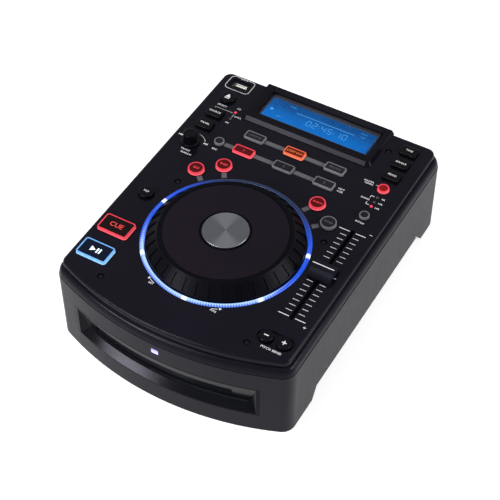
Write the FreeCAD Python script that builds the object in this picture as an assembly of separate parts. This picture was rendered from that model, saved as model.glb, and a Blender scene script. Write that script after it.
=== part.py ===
import FreeCAD, Part
import math
import os

V = FreeCAD.Vector
UP = V(0, 0, 1)

# Case: overall size, walls and the joint between the two shells
CASE_W = 218.0
CASE_D = 295.0
FRONT_BOW = 23.49
FRONT_CORNER_R = 12.0
BACK_CORNER_R = 12.0
CASE_WALL = 2.6
PARTING_Z = 71.0
PARTING_INSET = 0.4
FOOT_GAP = 1.2
BELLY_Z = 13.2
FLOOR_T = 2.4
SHOULDER_H = 8.5
PLATEAU_INSET = 4.6
PLATEAU_H = 15.3
PLATEAU_EDGE_R = 2.5
DECK_T = 2.6
FIT = 0.3
SEAT = 0.2

# Feet and the ramps that lift the belly between them
FRONT_FOOT_Y = -88.0
FRONT_RAMP = 8.0
REAR_FOOT_Y = 118.0
REAR_RAMP = 23.0
REAR_RAMP_H = 28.0
FOOT_GROOVE = 0.9
FOOT_PAD_R = 8.0
FOOT_PAD_T = 1.2

# Disc slot bezel in the front wall
BEZEL_HALF_W = 86.0
BEZEL_BOTTOM_Z = 19.6
BEZEL_TOP_Z = 53.4
BEZEL_FRAME = 1.4
BEZEL_SIDE = 2.8
BEZEL_DIP = 5.4
BEZEL_END_SLOPE = 7.0
BEZEL_CREASE_Z = 26.3
BEZEL_CREASE_H = 3.7
BEZEL_BODY_T = 4.0
SLOT_HALF_L = 64.0
SLOT_Z = 43.1
SLOT_H = 4.6
SLOT_LIP = 2.6

# Columns of controls on the top plate
COLUMN_X = 85.0
KEY_CLEAR = 0.35
KEY_RISE = 2.0
ARC_RISE = 2.5
KEY_FLANGE = 1.1
KEY_FLANGE_T = 1.2
KEY_TRAVEL = 1.0
KEY_EDGE_R = 1.1
LIT_EDGE_R = 0.5
LIT_RIM = 1.2
LIT_DIP = 0.3
PLAIN_KEYS = ("tap_button", "eject_button", "source_button", "panel_button", "time_button",
              "single_button", "program_button", "bend_minus_button", "bend_plus_button")
STEM_R = 1.8
SWITCH_T = 2.0
SWITCH_GAP = 0.4
BOARD_T = 1.6

# Transport keys: large lit rectangles at the front left
TRANSPORT_W = 28.0
TRANSPORT_D = 18.0
TRANSPORT_R = 2.4
TRANSPORT_RISE = 2.4
CUE_Y = -69.3
PLAY_Y = -99.9

# Round black keys and small rectangular black keys
TAP_R = 6.8
TAP_Y = -24.5
EJECT_R = 7.0
EJECT_Y = 110.5
SMALL_W = 15.0
SMALL_D = 10.7
SMALL_R = 1.6
SMALL_RISE = 3.0
SOURCE_Y = 87.8
PANEL_Y = 70.8
TIME_Y = 128.0
SMALL_PITCH = 16.85

# Two rows of three lit keys behind the wheel, and the record key beside them
ROW_KEY_W = 19.0
ROW_KEY_D = 9.5
ROW_KEY_R = 1.8
ROW_PITCH = 39.0
LOOP_ROW_Y = 78.6
CUE_ROW_Y = 58.8
RECORD_X = -63.5
RECORD_R = 4.6

# Round lit keys around the wheel
ARC_R = 85.8
ARC_KEY_R = 7.0
ARC_OUTER_DEG = 42.3
ARC_INNER_DEG = 58.3

# Tempo keys at the right
TEMPO_LOCK_Y = 78.0
TEMPO_LOCK_R = 5.0
RANGE_KEY_Y = 42.8
RANGE_KEY_R = 4.5

# Pitch fader
FADER_Y = -29.65
FADER_TRAVEL = 100.0
FADER_SLOT_W = 3.2
FADER_CAP_W = 20.0
FADER_CAP_D = 18.0
FADER_CAP_H = 8.2
FADER_CAP_LIFT = 1.2
FADER_STEM_W = 1.6
FADER_STEM_D = 6.0
FADER_BODY_W = 12.0
FADER_BODY_T = 6.5

# Pitch bend keys in their shared hollow
BEND_Y = -107.3
BEND_PITCH = 15.6
BEND_KEY_R = 6.0
BEND_HOLLOW_W = 31.0
BEND_HOLLOW_D = 14.5
BEND_HOLLOW_DEPTH = 1.2

# Track knob with its pushing and turning shaft
KNOB_Y = 46.0
KNOB_R = 5.9
KNOB_SKIRT_R = 8.0
KNOB_SKIRT_T = 1.6
KNOB_H = 10.2
KNOB_LIFT = 1.6
KNOB_RIBS = 18
KNOB_RIB = 0.6
KNOB_SHAFT_R = 3.0
KNOB_BORE_GAP = 0.05
ENCODER_W = 12.4

# Jog wheel
JOG_Y = -37.5
RING_R = 70.1
RING_W = 3.5
RING_RISE = 1.1
RING_FLANGE = 1.0
RING_FLANGE_T = 1.4
JOG_R = 65.6
JOG_GAP_Z = 0.5
JOG_TOP_R = 56.3
JOG_RISE = 12.2
JOG_WALL = 2.4
DISC_R = 51.6
DISC_T = 1.2
CAP_R = 19.4
CAP_RISE = 0.8
CAP_MOAT = 2.0
DENT_COUNT = 36
DENT_W = 4.6
DENT_DEPTH = 0.9
SPINDLE_R = 4.0
RUNNING = 0.05
BOSS_R = 9.0
BOSS_H = 17.0
BRACKET_R = 72.9
BRACKET_WALL = 1.5
BRACKET_DROP = 8.0
CODE_DISC_R = 14.0
CODE_DISC_T = 1.0

# Display hood, window and glass
HOOD_W = 127.0
HOOD_FRONT_Y = 94.8
HOOD_RISE = 3.5
HOOD_SLOPE = 2.2
HOOD_CORNER_R = 5.0
WINDOW_W = 110.0
WINDOW_D = 34.0
WINDOW_Y = 122.8
WINDOW_T = 1.2
WINDOW_SINK = 4.6
RIM_SLOPE = 1.6
LCD_T = 4.0

# Data socket on the top plate
USB_Y = 131.5
USB_W = 13.2
USB_D = 5.8
USB_WALL = 0.4
USB_DEPTH = 11.0
USB_WELL = 2.2

# Indicator lights
LIGHT_R = 1.3
SELECT_LIGHT_X = -70.2
SELECT_LIGHT_YS = (98.0, 89.0)
RANGE_LIGHT_YS = (67.0, 61.0, 55.5)
STATUS_Z = 62.8
STATUS_W = 7.0
STATUS_H = 5.5

# Recessed screw wells on the top plate
SCREW_WELL_R = 3.0
SCREW_WELL_DEPTH = 1.4
SCREW_WELLS = ((-67.0, -119.5), (67.0, -119.5), (-69.6, 0.5), (69.6, 0.5), (68.5, 121.0))

# Rear panel and its sockets
REAR_HALF_W = 94.0
REAR_BOTTOM_Z = 20.0
REAR_TOP_Z = 64.0
REAR_SET_BACK = 9.0
REAR_T = 1.5
PHONO_R = 4.2
PHONO_BORE_R = 1.7
PHONO_XS = (-30.0, -46.0, -62.0)
PHONO_Z = 44.0
PHONO_LEN = 8.6
USB_B_X = 2.0
USB_B_W = 12.0
USB_B_H = 11.0
INLET_X = 62.0
INLET_W = 48.0
INLET_H = 27.0
INLET_MOUTH_W = 24.0
INLET_MOUTH_H = 16.0
INLET_DEPTH = 16.0
ROCKER_W = 11.0
ROCKER_H = 19.0
ROCKER_PIVOT_R = 1.6
REAR_Z = 42.0

# Bottom plate, boards and power supply
PLATE_T = 1.2
PLATE_LIP = 7.0
BOARD_BOSS_R = 2.4
BOARD_BOSS_FRONT = 31.5
BOARD_BOSS_MIDDLE = 45.5
BOARD_BOSS_BACK = 10.5
MAIN_BOARD_Z = 22.0
BOARD_INSET = 14.0
BOARD_GAP = 6.0
MAIN_BOARD_D = 112.0
POWER_BOARD_W = 58.0
POWER_BOARD_D = 96.0
POST_R = 3.2
CONTROL_INSET = 8.5

# Slot-in disc drive
DRIVE_HALF_W = 73.0
DRIVE_SET_BACK = 22.0
DRIVE_LENGTH = 131.5
DRIVE_BOTTOM_Z = 24.0
DRIVE_TOP_Z = 54.0
DRIVE_SHEET = 1.2
ROLLER_BEHIND_FRONT = 8.0
ROLLER_R = 4.6
ROLLER_WAIST = 0.8
ROLLER_SHAFT_R = 1.5
DISC_BEHIND_FRONT = 63.5
TURNTABLE_R = 14.0
TURNTABLE_T = 2.5
TURNTABLE_CONE_H = 3.0
MOTOR_R = 12.5
SLED_W = 44.0
SLED_D = 22.0
SLED_H = 8.0
SLED_GAP = 16.0
SLED_TRAVEL = 22.0
RAIL_W = 3.0

# Sizes worked out from the ones above
HALF_W = CASE_W / 2
FRONT_R = (HALF_W ** 2 + FRONT_BOW ** 2) / (2 * FRONT_BOW)
PLATE_TOP_Z = BELLY_Z + FLOOR_T + PLATE_T
FRONT_Y = -CASE_D / 2
BACK_Y = CASE_D / 2
DRIVE_FRONT_Y = FRONT_Y + DRIVE_SET_BACK
DRIVE_BACK_Y = DRIVE_FRONT_Y + DRIVE_LENGTH
ROLLER_Y = DRIVE_FRONT_Y + ROLLER_BEHIND_FRONT
DISC_Y = DRIVE_FRONT_Y + DISC_BEHIND_FRONT
MAIN_BOARD_Y0 = DRIVE_BACK_Y + BOARD_GAP
MAIN_BOARD_W = CASE_W - 2 * BOARD_INSET - POWER_BOARD_W - BOARD_GAP
TOP_Z = PARTING_Z + PLATEAU_H
DECK_UNDER_Z = TOP_Z - DECK_T
DISC_PATH_Z = SLOT_Z - SLOT_H / 2
SHOULDER_Z = PARTING_Z + SHOULDER_H
KEY_FLANGE_TOP = DECK_UNDER_Z - SEAT
SWITCH_TOP_Z = KEY_FLANGE_TOP - KEY_FLANGE_T - KEY_TRAVEL - SWITCH_GAP
CONTROL_BOARD_Z = SWITCH_TOP_Z - SWITCH_T - BOARD_T
RING_INNER_R = RING_R - RING_W
JOG_BASE_Z = TOP_Z + JOG_GAP_Z
JOG_TOP_Z = TOP_Z + JOG_RISE
HOOD_BACK_Y = BACK_Y - PLATEAU_INSET + 2.0
WINDOW_TOP_Z = TOP_Z + HOOD_RISE - WINDOW_SINK
BRACKET_FLOOR_Z = DECK_UNDER_Z - BRACKET_DROP
BOSS_TOP_Z = DECK_UNDER_Z + 0.8
BOSS_BOTTOM_Z = BOSS_TOP_Z - BOSS_H


def box(x0, x1, y0, y1, z0, z1):
    return Part.makeBox(x1 - x0, y1 - y0, z1 - z0, V(x0, y0, z0))


def rod(r, z0, z1, x=0.0, y=0.0):
    return Part.makeCylinder(r, z1 - z0, V(x, y, z0), UP)


def tube(r_out, r_in, z0, z1, x=0.0, y=0.0):
    return rod(r_out, z0, z1, x, y).cut(rod(r_in, z0 - 1, z1 + 1, x, y))


def prism(wire, height):
    return Part.Face(wire).extrude(V(0, 0, height))


def rounded_rect(x, y, w, d, r, z):
    """A rectangle with rounded corners, centred on x, y."""
    x0, x1, y0, y1 = x - w / 2, x + w / 2, y - d / 2, y + d / 2
    k = r * (1 - math.sqrt(0.5))
    corners = [
        (V(x1 - r, y0, z), V(x1 - k, y0 + k, z), V(x1, y0 + r, z)),
        (V(x1, y1 - r, z), V(x1 - k, y1 - k, z), V(x1 - r, y1, z)),
        (V(x0 + r, y1, z), V(x0 + k, y1 - k, z), V(x0, y1 - r, z)),
        (V(x0, y0 + r, z), V(x0 + k, y0 + k, z), V(x0 + r, y0, z)),
    ]
    return closed_outline(corners)


def closed_outline(corners):
    """Joins corner arcs, each given by three points, with straight lines."""
    edges = []
    for i, arc in enumerate(corners):
        edges.append(Part.Arc(*arc).toShape())
        following = corners[(i + 1) % len(corners)][0]
        if arc[2].distanceToPoint(following) > 1e-6:
            edges.append(Part.LineSegment(arc[2], following).toShape())
    return Part.Wire(edges)


def block(x, y, w, d, r, z0, z1):
    return prism(rounded_rect(x, y, w, d, r, z0), z1 - z0)


def front_arc_y(x, inset=0.0):
    """Where the bowed front stands at a distance x from the middle."""
    radius = FRONT_R - inset
    return FRONT_Y + FRONT_R - math.sqrt(radius ** 2 - x ** 2)


def case_outline(inset, z):
    """The case seen from above, moved inwards: straight sides, round corners, bowed front."""
    w = HALF_W - inset
    back = BACK_Y - inset
    rb = BACK_CORNER_R - inset
    rf = FRONT_CORNER_R - inset
    radius = FRONT_R - inset
    centre_y = FRONT_Y + FRONT_R
    if rb < 1.0:
        rb = 1.0
    if rf < 1.0:
        rf = 1.0
    corner_y = centre_y - math.sqrt((radius - rf) ** 2 - (w - rf) ** 2)
    angle = math.atan2(corner_y - centre_y, w - rf)
    touch = V(radius * math.cos(angle), centre_y + radius * math.sin(angle), z)
    middle = angle / 2
    mid = V(w - rf + rf * math.cos(middle), corner_y + rf * math.sin(middle), z)
    k = rb * (1 - math.sqrt(0.5))
    edges = [
        Part.Arc(V(-touch.x, touch.y, z), V(0, centre_y - radius, z), touch),
        Part.Arc(touch, mid, V(w, corner_y, z)),
        Part.LineSegment(V(w, corner_y, z), V(w, back - rb, z)),
        Part.Arc(V(w, back - rb, z), V(w - k, back - k, z), V(w - rb, back, z)),
        Part.LineSegment(V(w - rb, back, z), V(-w + rb, back, z)),
        Part.Arc(V(-w + rb, back, z), V(-w + k, back - k, z), V(-w, back - rb, z)),
        Part.LineSegment(V(-w, back - rb, z), V(-w, corner_y, z)),
        Part.Arc(V(-w, corner_y, z), V(-mid.x, mid.y, z), V(-touch.x, touch.y, z)),
    ]
    return Part.Wire([e.toShape() for e in edges])


def case_solid(inset, z0, z1):
    return prism(case_outline(inset, z0), z1 - z0)


def top_edges(shape, z):
    """Edges lying in the level z."""
    found = []
    for e in shape.Edges:
        b = e.BoundBox
        if abs(b.ZMin - z) < 1e-4 and abs(b.ZMax - z) < 1e-4:
            found.append(e)
    return found


def round_top(shape, z, r):
    return shape.makeFillet(r, top_edges(shape, z))


# Keys: name, shape, place and size. The cover's holes, the caps and the switches all read this list.
def key_list():
    keys = []

    def rect(name, x, y, w, d, r, rise):
        keys.append(dict(name=name, x=x, y=y, w=w, d=d, r=r, rise=rise, deck=0.0))

    def round_key(name, x, y, radius, rise, deck=0.0):
        keys.append(dict(name=name, x=x, y=y, w=0.0, d=0.0, r=radius, rise=rise, deck=deck))

    rect("cue_button", -COLUMN_X, CUE_Y, TRANSPORT_W, TRANSPORT_D, TRANSPORT_R, TRANSPORT_RISE)
    rect("play_button", -COLUMN_X, PLAY_Y, TRANSPORT_W, TRANSPORT_D, TRANSPORT_R, TRANSPORT_RISE)
    round_key("tap_button", -COLUMN_X, TAP_Y, TAP_R, SMALL_RISE)
    round_key("eject_button", -COLUMN_X, EJECT_Y, EJECT_R, SMALL_RISE)
    rect("source_button", -COLUMN_X, SOURCE_Y, SMALL_W, SMALL_D, SMALL_R, SMALL_RISE)
    rect("panel_button", -COLUMN_X, PANEL_Y, SMALL_W, SMALL_D, SMALL_R, SMALL_RISE)
    for i, name in enumerate(("time_button", "single_button", "program_button")):
        rect(name, COLUMN_X, TIME_Y - i * SMALL_PITCH, SMALL_W, SMALL_D, SMALL_R, SMALL_RISE)
    round_key("record_button", RECORD_X, CUE_ROW_Y, RECORD_R, KEY_RISE)
    for i in range(3):
        x = (i - 1) * ROW_PITCH
        rect("hot_cue_button_%d" % (i + 1), x, CUE_ROW_Y, ROW_KEY_W, ROW_KEY_D, ROW_KEY_R, KEY_RISE)
    for i, name in enumerate(("loop_in_button", "loop_out_button", "reloop_button")):
        x = (i - 1) * ROW_PITCH
        rect(name, x, LOOP_ROW_Y, ROW_KEY_W, ROW_KEY_D, ROW_KEY_R, KEY_RISE)
    for side, sign in (("left", -1), ("right", 1)):
        for place, degrees in (("outer", ARC_OUTER_DEG), ("inner", ARC_INNER_DEG)):
            a = math.radians(degrees)
            x = sign * ARC_R * math.cos(a)
            round_key("%s_%s_button" % (side, place), x, JOG_Y + ARC_R * math.sin(a), ARC_KEY_R, ARC_RISE)
    round_key("tempo_lock_button", COLUMN_X, TEMPO_LOCK_Y, TEMPO_LOCK_R, KEY_RISE)
    round_key("pitch_range_button", COLUMN_X, RANGE_KEY_Y, RANGE_KEY_R, KEY_RISE)
    for name, side in (("bend_minus_button", -1), ("bend_plus_button", 1)):
        x = COLUMN_X + side * BEND_PITCH / 2
        round_key(name, x, BEND_Y, BEND_KEY_R, KEY_RISE + BEND_HOLLOW_DEPTH, BEND_HOLLOW_DEPTH)
    return keys


def key_prism(key, grow, z0, z1):
    """The key's outline, grown all round, between two levels."""
    if key["w"]:
        return block(key["x"], key["y"], key["w"] + 2 * grow, key["d"] + 2 * grow, key["r"] + grow, z0, z1)
    return rod(key["r"] + grow, z0, z1, key["x"], key["y"])


def key_cap(key):
    """A key cap: rounded top, body through the deck and a flange under it. The lit keys have
    a clear rim round a sunken face."""
    top = TOP_Z - key["deck"] + key["rise"]
    body = key_prism(key, 0.0, KEY_FLANGE_TOP - KEY_FLANGE_T, top)
    lit = key["name"] not in PLAIN_KEYS
    body = round_top(body, top, LIT_EDGE_R if lit else KEY_EDGE_R)
    if lit:
        body = body.cut(key_prism(key, -LIT_RIM, top - LIT_DIP, top + 1))
    return body.fuse(key_prism(key, KEY_FLANGE, KEY_FLANGE_TOP - KEY_FLANGE_T, KEY_FLANGE_TOP))


def key_switches(keys):
    """The tact switches under the keys."""
    half = 3.0
    made = []
    for key in keys:
        x, y = key["x"], key["y"]
        base = box(x - half, x + half, y - half, y + half, SWITCH_TOP_Z - SWITCH_T, SWITCH_TOP_Z - 0.6)
        made.append(base.fuse(rod(STEM_R, SWITCH_TOP_Z - 0.6, SWITCH_TOP_Z, x, y)))
    return Part.Compound(made)


def shoulder_solid():
    """The rolled shoulder round the case: a quarter ellipse from the parting line to the plateau's side."""
    sections = []
    reach = PLATEAU_INSET - PARTING_INSET - SEAT / 2
    for i in range(6):
        t = math.radians(18 * i)
        sections.append(case_outline(PARTING_INSET + reach * (1 - math.cos(t)), PARTING_Z + SHOULDER_H * math.sin(t)))
    return Part.makeLoft(sections, True, False)


def top_cover(keys):
    """The gloss black upper shell: rolled shoulder, raised plateau and every opening in it."""
    plateau = round_top(case_solid(PLATEAU_INSET, PARTING_Z, TOP_Z), TOP_Z, PLATEAU_EDGE_R)
    shell = shoulder_solid().fuse(plateau)
    hollow_low = case_solid(PARTING_INSET + CASE_WALL, PARTING_Z - 1, SHOULDER_Z - 3.5)
    hollow_high = case_solid(PLATEAU_INSET + CASE_WALL, PARTING_Z - 1, DECK_UNDER_Z)
    shell = shell.cut([hollow_low, hollow_high])
    over = TOP_Z + 5
    under = DECK_UNDER_Z - 1
    holes = [key_prism(key, KEY_CLEAR, under, over) for key in keys]
    holes.append(rod(RING_R + SEAT, under, over, 0, JOG_Y))
    holes.append(block(0, WINDOW_Y, WINDOW_W, WINDOW_D, 2.0, under, over))
    holes.append(block(-COLUMN_X, USB_Y, USB_W + 2 * FIT, USB_D + 2 * FIT, 0.6, under, over))
    well = block(-COLUMN_X, USB_Y, USB_W + 5.0, USB_D + 5.0, 1.5, TOP_Z - 1.2, over)
    holes.append(well)
    slot_d = FADER_TRAVEL + FADER_STEM_D + 2.0
    holes.append(block(COLUMN_X, FADER_Y, FADER_SLOT_W, slot_d, FADER_SLOT_W / 2 - 0.01, under, over))
    holes.append(rod(KNOB_SHAFT_R + 1.0, under, over, -COLUMN_X, KNOB_Y))
    hollow_r = BEND_HOLLOW_D / 2 - 0.01
    hollow_z = TOP_Z - BEND_HOLLOW_DEPTH
    holes.append(block(COLUMN_X, BEND_Y, BEND_HOLLOW_W, BEND_HOLLOW_D, hollow_r, hollow_z, over))
    for x, y in SCREW_WELLS:
        holes.append(rod(SCREW_WELL_R, TOP_Z - SCREW_WELL_DEPTH, over, x, y))
    for x, y in light_places():
        holes.append(rod(LIGHT_R + SEAT / 2, under, over, x, y))
    bosses = [rod(BOARD_BOSS_R, CONTROL_BOARD_Z + BOARD_T, DECK_UNDER_Z + 0.1, x, y) for x, y in board_bosses()]
    return shell.cut(holes).fuse(bosses)


def board_bosses():
    """Bosses under the deck that the control board is screwed to."""
    x = HALF_W - PLATEAU_INSET - CASE_WALL - 4.8
    front = FRONT_Y + BOARD_BOSS_FRONT
    back = BACK_Y - BOARD_BOSS_BACK
    sides = [(side * x, y) for side in (-1, 1) for y in (front, JOG_Y + BOARD_BOSS_MIDDLE, back)]
    return sides + [(0, HOOD_FRONT_Y + 1.2), (0, JOG_Y - BRACKET_R - 15.0)]


def light_places():
    left = [(SELECT_LIGHT_X, y) for y in SELECT_LIGHT_YS]
    return left + [(COLUMN_X, y) for y in RANGE_LIGHT_YS]


def indicator_lights():
    """Small round light pipes in the deck, and the oblong one in the front wall."""
    made = []
    for x, y in light_places():
        made.append(rod(LIGHT_R, CONTROL_BOARD_Z + BOARD_T, TOP_Z + 0.15, x, y))
    front = box(-STATUS_W / 2, STATUS_W / 2, FRONT_Y + 0.1, FRONT_Y + 6.0,
                STATUS_Z - STATUS_H / 2, STATUS_Z + STATUS_H / 2)
    made.append(front.common(case_solid(0.05, 0, PARTING_Z)))
    return Part.Compound(made)


def belly_cut(rise):
    """What the lifted belly leaves out between the feet, or the same grown upwards by a floor."""
    low = REAR_FOOT_Y - REAR_RAMP * BELLY_Z / REAR_RAMP_H
    x = -HALF_W - 1
    points = [V(x, FRONT_FOOT_Y - rise, 0), V(x, FRONT_FOOT_Y + FRONT_RAMP - rise, BELLY_Z + rise),
              V(x, low + rise, BELLY_Z + rise), V(x, REAR_FOOT_Y + rise, 0), V(x, FRONT_FOOT_Y - rise, 0)]
    return Part.Face(Part.makePolygon(points)).extrude(V(CASE_W + 2, 0, 0))


def plate_window():
    """The opening in the belly that the steel plate covers."""
    window = case_solid(CASE_WALL + PLATE_LIP, BELLY_Z - 1, BELLY_Z + FLOOR_T + 1)
    y1 = REAR_FOOT_Y - REAR_RAMP * BELLY_Z / REAR_RAMP_H - PLATE_LIP
    return window.common(box(-HALF_W, HALF_W, FRONT_FOOT_Y + FRONT_RAMP + PLATE_LIP, y1, 0, PARTING_Z))


def base_case():
    """The matt lower shell: walls, feet, belly lip, bezel and rear openings, screw posts."""
    shell = case_solid(0.0, FOOT_GAP, PARTING_Z).cut(belly_cut(0.0))
    inside = case_solid(CASE_WALL, FOOT_GAP + FLOOR_T, PARTING_Z + 1).cut(belly_cut(FLOOR_T))
    posts = [rod(POST_R, BELLY_Z, PARTING_Z, x, y) for x, y in case_posts()]
    case = shell.cut([inside, plate_window()]).fuse(posts)
    front_hole = box(-BEZEL_HALF_W, BEZEL_HALF_W, FRONT_Y - 5, front_arc_y(BEZEL_HALF_W) + 12,
                     BEZEL_BOTTOM_Z, BEZEL_TOP_Z)
    rear_hole = box(-REAR_HALF_W, REAR_HALF_W, BACK_Y - 8, BACK_Y + 5, REAR_BOTTOM_Z, REAR_TOP_Z)
    status = box(-STATUS_W / 2 - SEAT / 2, STATUS_W / 2 + SEAT / 2, FRONT_Y - 2, FRONT_Y + 8,
                 STATUS_Z - STATUS_H / 2 - SEAT / 2, STATUS_Z + STATUS_H / 2 + SEAT / 2)
    case = case.cut([front_hole, rear_hole, status])
    grooves = []
    for side in (-1, 1):
        x0 = side * HALF_W - (FOOT_GROOVE if side > 0 else 0)
        run = REAR_RAMP * (REAR_RAMP_H - BELLY_Z) / REAR_RAMP_H
        y_low = REAR_FOOT_Y - REAR_RAMP * BELLY_Z / REAR_RAMP_H
        strip = [V(x0, y_low, BELLY_Z), V(x0, y_low - run, REAR_RAMP_H),
                 V(x0, y_low - run - 1.6, REAR_RAMP_H), V(x0, y_low - 1.6, BELLY_Z), V(x0, y_low, BELLY_Z)]
        grooves.append(Part.Face(Part.makePolygon(strip)).extrude(V(FOOT_GROOVE, 0, 0)))
    return case.cut(grooves)


def case_posts():
    """Screw posts that carry the top cover."""
    x = HALF_W - CASE_WALL - POST_R + 0.7
    return [(-x, -105.0), (x, -105.0), (-x, 20.0), (x, 20.0), (-x, 126.0), (x, 126.0)]


def slot_bezel():
    """The dished slot surround: a frame flush with the bowed front, a face that leans in
    towards the slot, a sloping shelf under it and slanted ends."""
    depth = BEZEL_DIP + BEZEL_BODY_T
    body = case_solid(0.0, BEZEL_BOTTOM_Z + SEAT, BEZEL_TOP_Z - SEAT)
    body = body.cut(case_solid(depth, BEZEL_BOTTOM_Z - 1, BEZEL_TOP_Z + 1))
    half = BEZEL_HALF_W - SEAT
    keep = box(-half, half, FRONT_Y - 1, front_arc_y(half, 0.0) + depth + 4, BEZEL_BOTTOM_Z, BEZEL_TOP_Z)
    body = body.common(keep)
    slot = block_y(0, SLOT_Z, 2 * SLOT_HALF_L, SLOT_H, SLOT_H / 2 - 0.3, FRONT_Y - 5, FRONT_Y + 60)
    return body.cut([bezel_dish(), slot, slot_lip()])


def bezel_face_dip(z):
    """How deep the leaning face stands inside the bowed front at a height."""
    crease_top = BEZEL_CREASE_Z + BEZEL_CREASE_H
    return BEZEL_DIP * (BEZEL_TOP_Z - BEZEL_FRAME - z) / (BEZEL_TOP_Z - BEZEL_FRAME - crease_top)


def slot_lip():
    """The chamfer along the slot's lower edge that guides a disc in."""
    z1 = SLOT_Z - SLOT_H / 2 + 0.1
    z0 = z1 - SLOT_LIP
    centre = V(0, FRONT_Y + FRONT_R, 0)
    profile = [(FRONT_R - bezel_face_dip(z0), z0), (FRONT_R - bezel_face_dip(z1) - SLOT_LIP, z1),
               (FRONT_R, z1), (FRONT_R, z0)]
    points = [V(0, centre.y - r, z) for r, z in profile]
    points.append(points[0])
    swing = math.degrees(math.asin(SLOT_HALF_L / FRONT_R))
    face = Part.Face(Part.makePolygon(points))
    face.rotate(centre, UP, -swing)
    return face.revolve(centre, UP, 2 * swing)


def bezel_dish():
    """The hollow that the bezel face leaves in front of it, swept round the bowed front."""
    z_low = BEZEL_BOTTOM_Z + BEZEL_FRAME
    z_high = BEZEL_TOP_Z - BEZEL_FRAME
    centre = V(0, FRONT_Y + FRONT_R, 0)
    outer = FRONT_R + 3.0
    profile = [(outer, z_low - 3.0 * (BEZEL_CREASE_Z - z_low) / BEZEL_DIP), (FRONT_R, z_low),
               (FRONT_R - BEZEL_DIP, BEZEL_CREASE_Z), (FRONT_R - BEZEL_DIP, BEZEL_CREASE_Z + BEZEL_CREASE_H),
               (FRONT_R, z_high), (outer, z_high + 3.0)]
    points = [V(0, centre.y - r, z) for r, z in profile]
    points.append(points[0])
    face = Part.Face(Part.makePolygon(points))
    half = BEZEL_HALF_W - BEZEL_SIDE
    swing = math.degrees(math.asin(half / FRONT_R))
    face.rotate(centre, UP, -swing)
    ring = face.revolve(centre, UP, 2 * swing)
    ends = []
    for side in (-1, 1):
        a = math.asin(half / FRONT_R)
        b = math.asin((half - BEZEL_END_SLOPE) / FRONT_R)
        spots = [(FRONT_R + 3.5, a + 0.01), (FRONT_R, a), (FRONT_R - BEZEL_DIP - 0.5, b - 0.002),
                 (FRONT_R - BEZEL_DIP - 0.5, a + 0.05), (FRONT_R + 3.5, a + 0.05)]
        wire = [V(side * r * math.sin(t), centre.y - r * math.cos(t), 0) for r, t in spots]
        wire.append(wire[0])
        ends.append(Part.Face(Part.makePolygon(wire)).extrude(V(0, 0, TOP_Z)))
    return ring.cut(ends)


def revolve_profile(points, x, y):
    """A solid turned about a vertical axis from (radius, height) points."""
    loop = [V(x + r, y, z) for r, z in points]
    loop.append(loop[0])
    return Part.Face(Part.makePolygon(loop)).revolve(V(x, y, 0), UP, 360)


def light_ring():
    """The clear ring round the wheel: crowned top edge, flange under the deck."""
    top = TOP_Z + RING_RISE
    ring = tube(RING_R, RING_INNER_R, DECK_UNDER_Z - SEAT, top, 0, JOG_Y)
    ring = ring.makeFillet(RING_W / 2 - 0.4, top_edges(ring, top))
    flange = tube(RING_R + RING_FLANGE, RING_INNER_R, DECK_UNDER_Z - SEAT - RING_FLANGE_T,
                  DECK_UNDER_Z - SEAT, 0, JOG_Y)
    return ring.fuse(flange)


def ring_light_board():
    """The round lamp board under the ring, with its sixteen lamps."""
    top = DECK_UNDER_Z - SEAT - RING_FLANGE_T - 0.9
    board = tube(RING_R + RING_FLANGE, RING_INNER_R, top - BOARD_T, top, 0, JOG_Y)
    lamps = []
    r = RING_R - RING_W / 2
    for i in range(16):
        a = 2 * math.pi * (i + 0.5) / 16
        lamp = box(r - 1.0, r + 1.0, -1.5, 1.5, top, top + 0.7)
        lamp.rotate(V(0, 0, 0), UP, math.degrees(a))
        lamp.translate(V(0, JOG_Y, 0))
        lamps.append(lamp)
    return board.fuse(lamps)


def jog_platter():
    """The wheel: sloping rim with finger dents, rim round the touch disc, hub for the spindle."""
    slope_foot = JOG_BASE_Z + 1.6
    outer = [(JOG_R, JOG_BASE_Z), (JOG_R, slope_foot), (JOG_TOP_R, JOG_TOP_Z - 0.8),
             (JOG_TOP_R - 0.8, JOG_TOP_Z), (DISC_R + SEAT, JOG_TOP_Z), (DISC_R + SEAT, JOG_TOP_Z - DISC_T),
             (0, JOG_TOP_Z - DISC_T)]
    roof = JOG_TOP_Z - DISC_T - JOG_WALL
    inner = [(0, roof), (JOG_TOP_R - JOG_WALL, roof), (JOG_R - JOG_WALL, slope_foot - 0.6),
             (JOG_R - JOG_WALL, JOG_BASE_Z)]
    platter = revolve_profile(outer + inner, 0, JOG_Y)
    hub = rod(BOSS_R, BOSS_TOP_Z + FIT, roof + 0.5, 0, JOG_Y)
    bore = rod(SPINDLE_R, BOSS_TOP_Z - 2, roof + 0.6, 0, JOG_Y)
    platter = platter.fuse(hub).cut(bore)
    run = math.hypot(JOG_R - JOG_TOP_R, JOG_TOP_Z - 0.8 - slope_foot)
    tilt = math.degrees(math.atan2(JOG_TOP_Z - 0.8 - slope_foot, JOG_R - JOG_TOP_R))
    dents = []
    for i in range(DENT_COUNT):
        dent = box(-run * 0.42, run * 0.42, -DENT_W / 2, DENT_W / 2, -DENT_DEPTH, 4.0)
        dent.rotate(V(0, 0, 0), V(0, 1, 0), tilt)
        dent.translate(V((JOG_R + JOG_TOP_R) / 2, 0, (slope_foot + JOG_TOP_Z - 0.8) / 2))
        dent.rotate(V(0, 0, 0), UP, 360.0 * i / DENT_COUNT)
        dent.translate(V(0, JOG_Y, 0))
        dents.append(dent)
    return platter.cut(dents)


def touch_disc():
    """The flat touch plate in the wheel, with the moat round its middle cap."""
    floor = JOG_TOP_Z - DISC_T
    disc = tube(DISC_R, CAP_R + CAP_MOAT, floor, JOG_TOP_Z, 0, JOG_Y)
    return disc.makeChamfer(0.25, top_edges(disc, JOG_TOP_Z))


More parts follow.
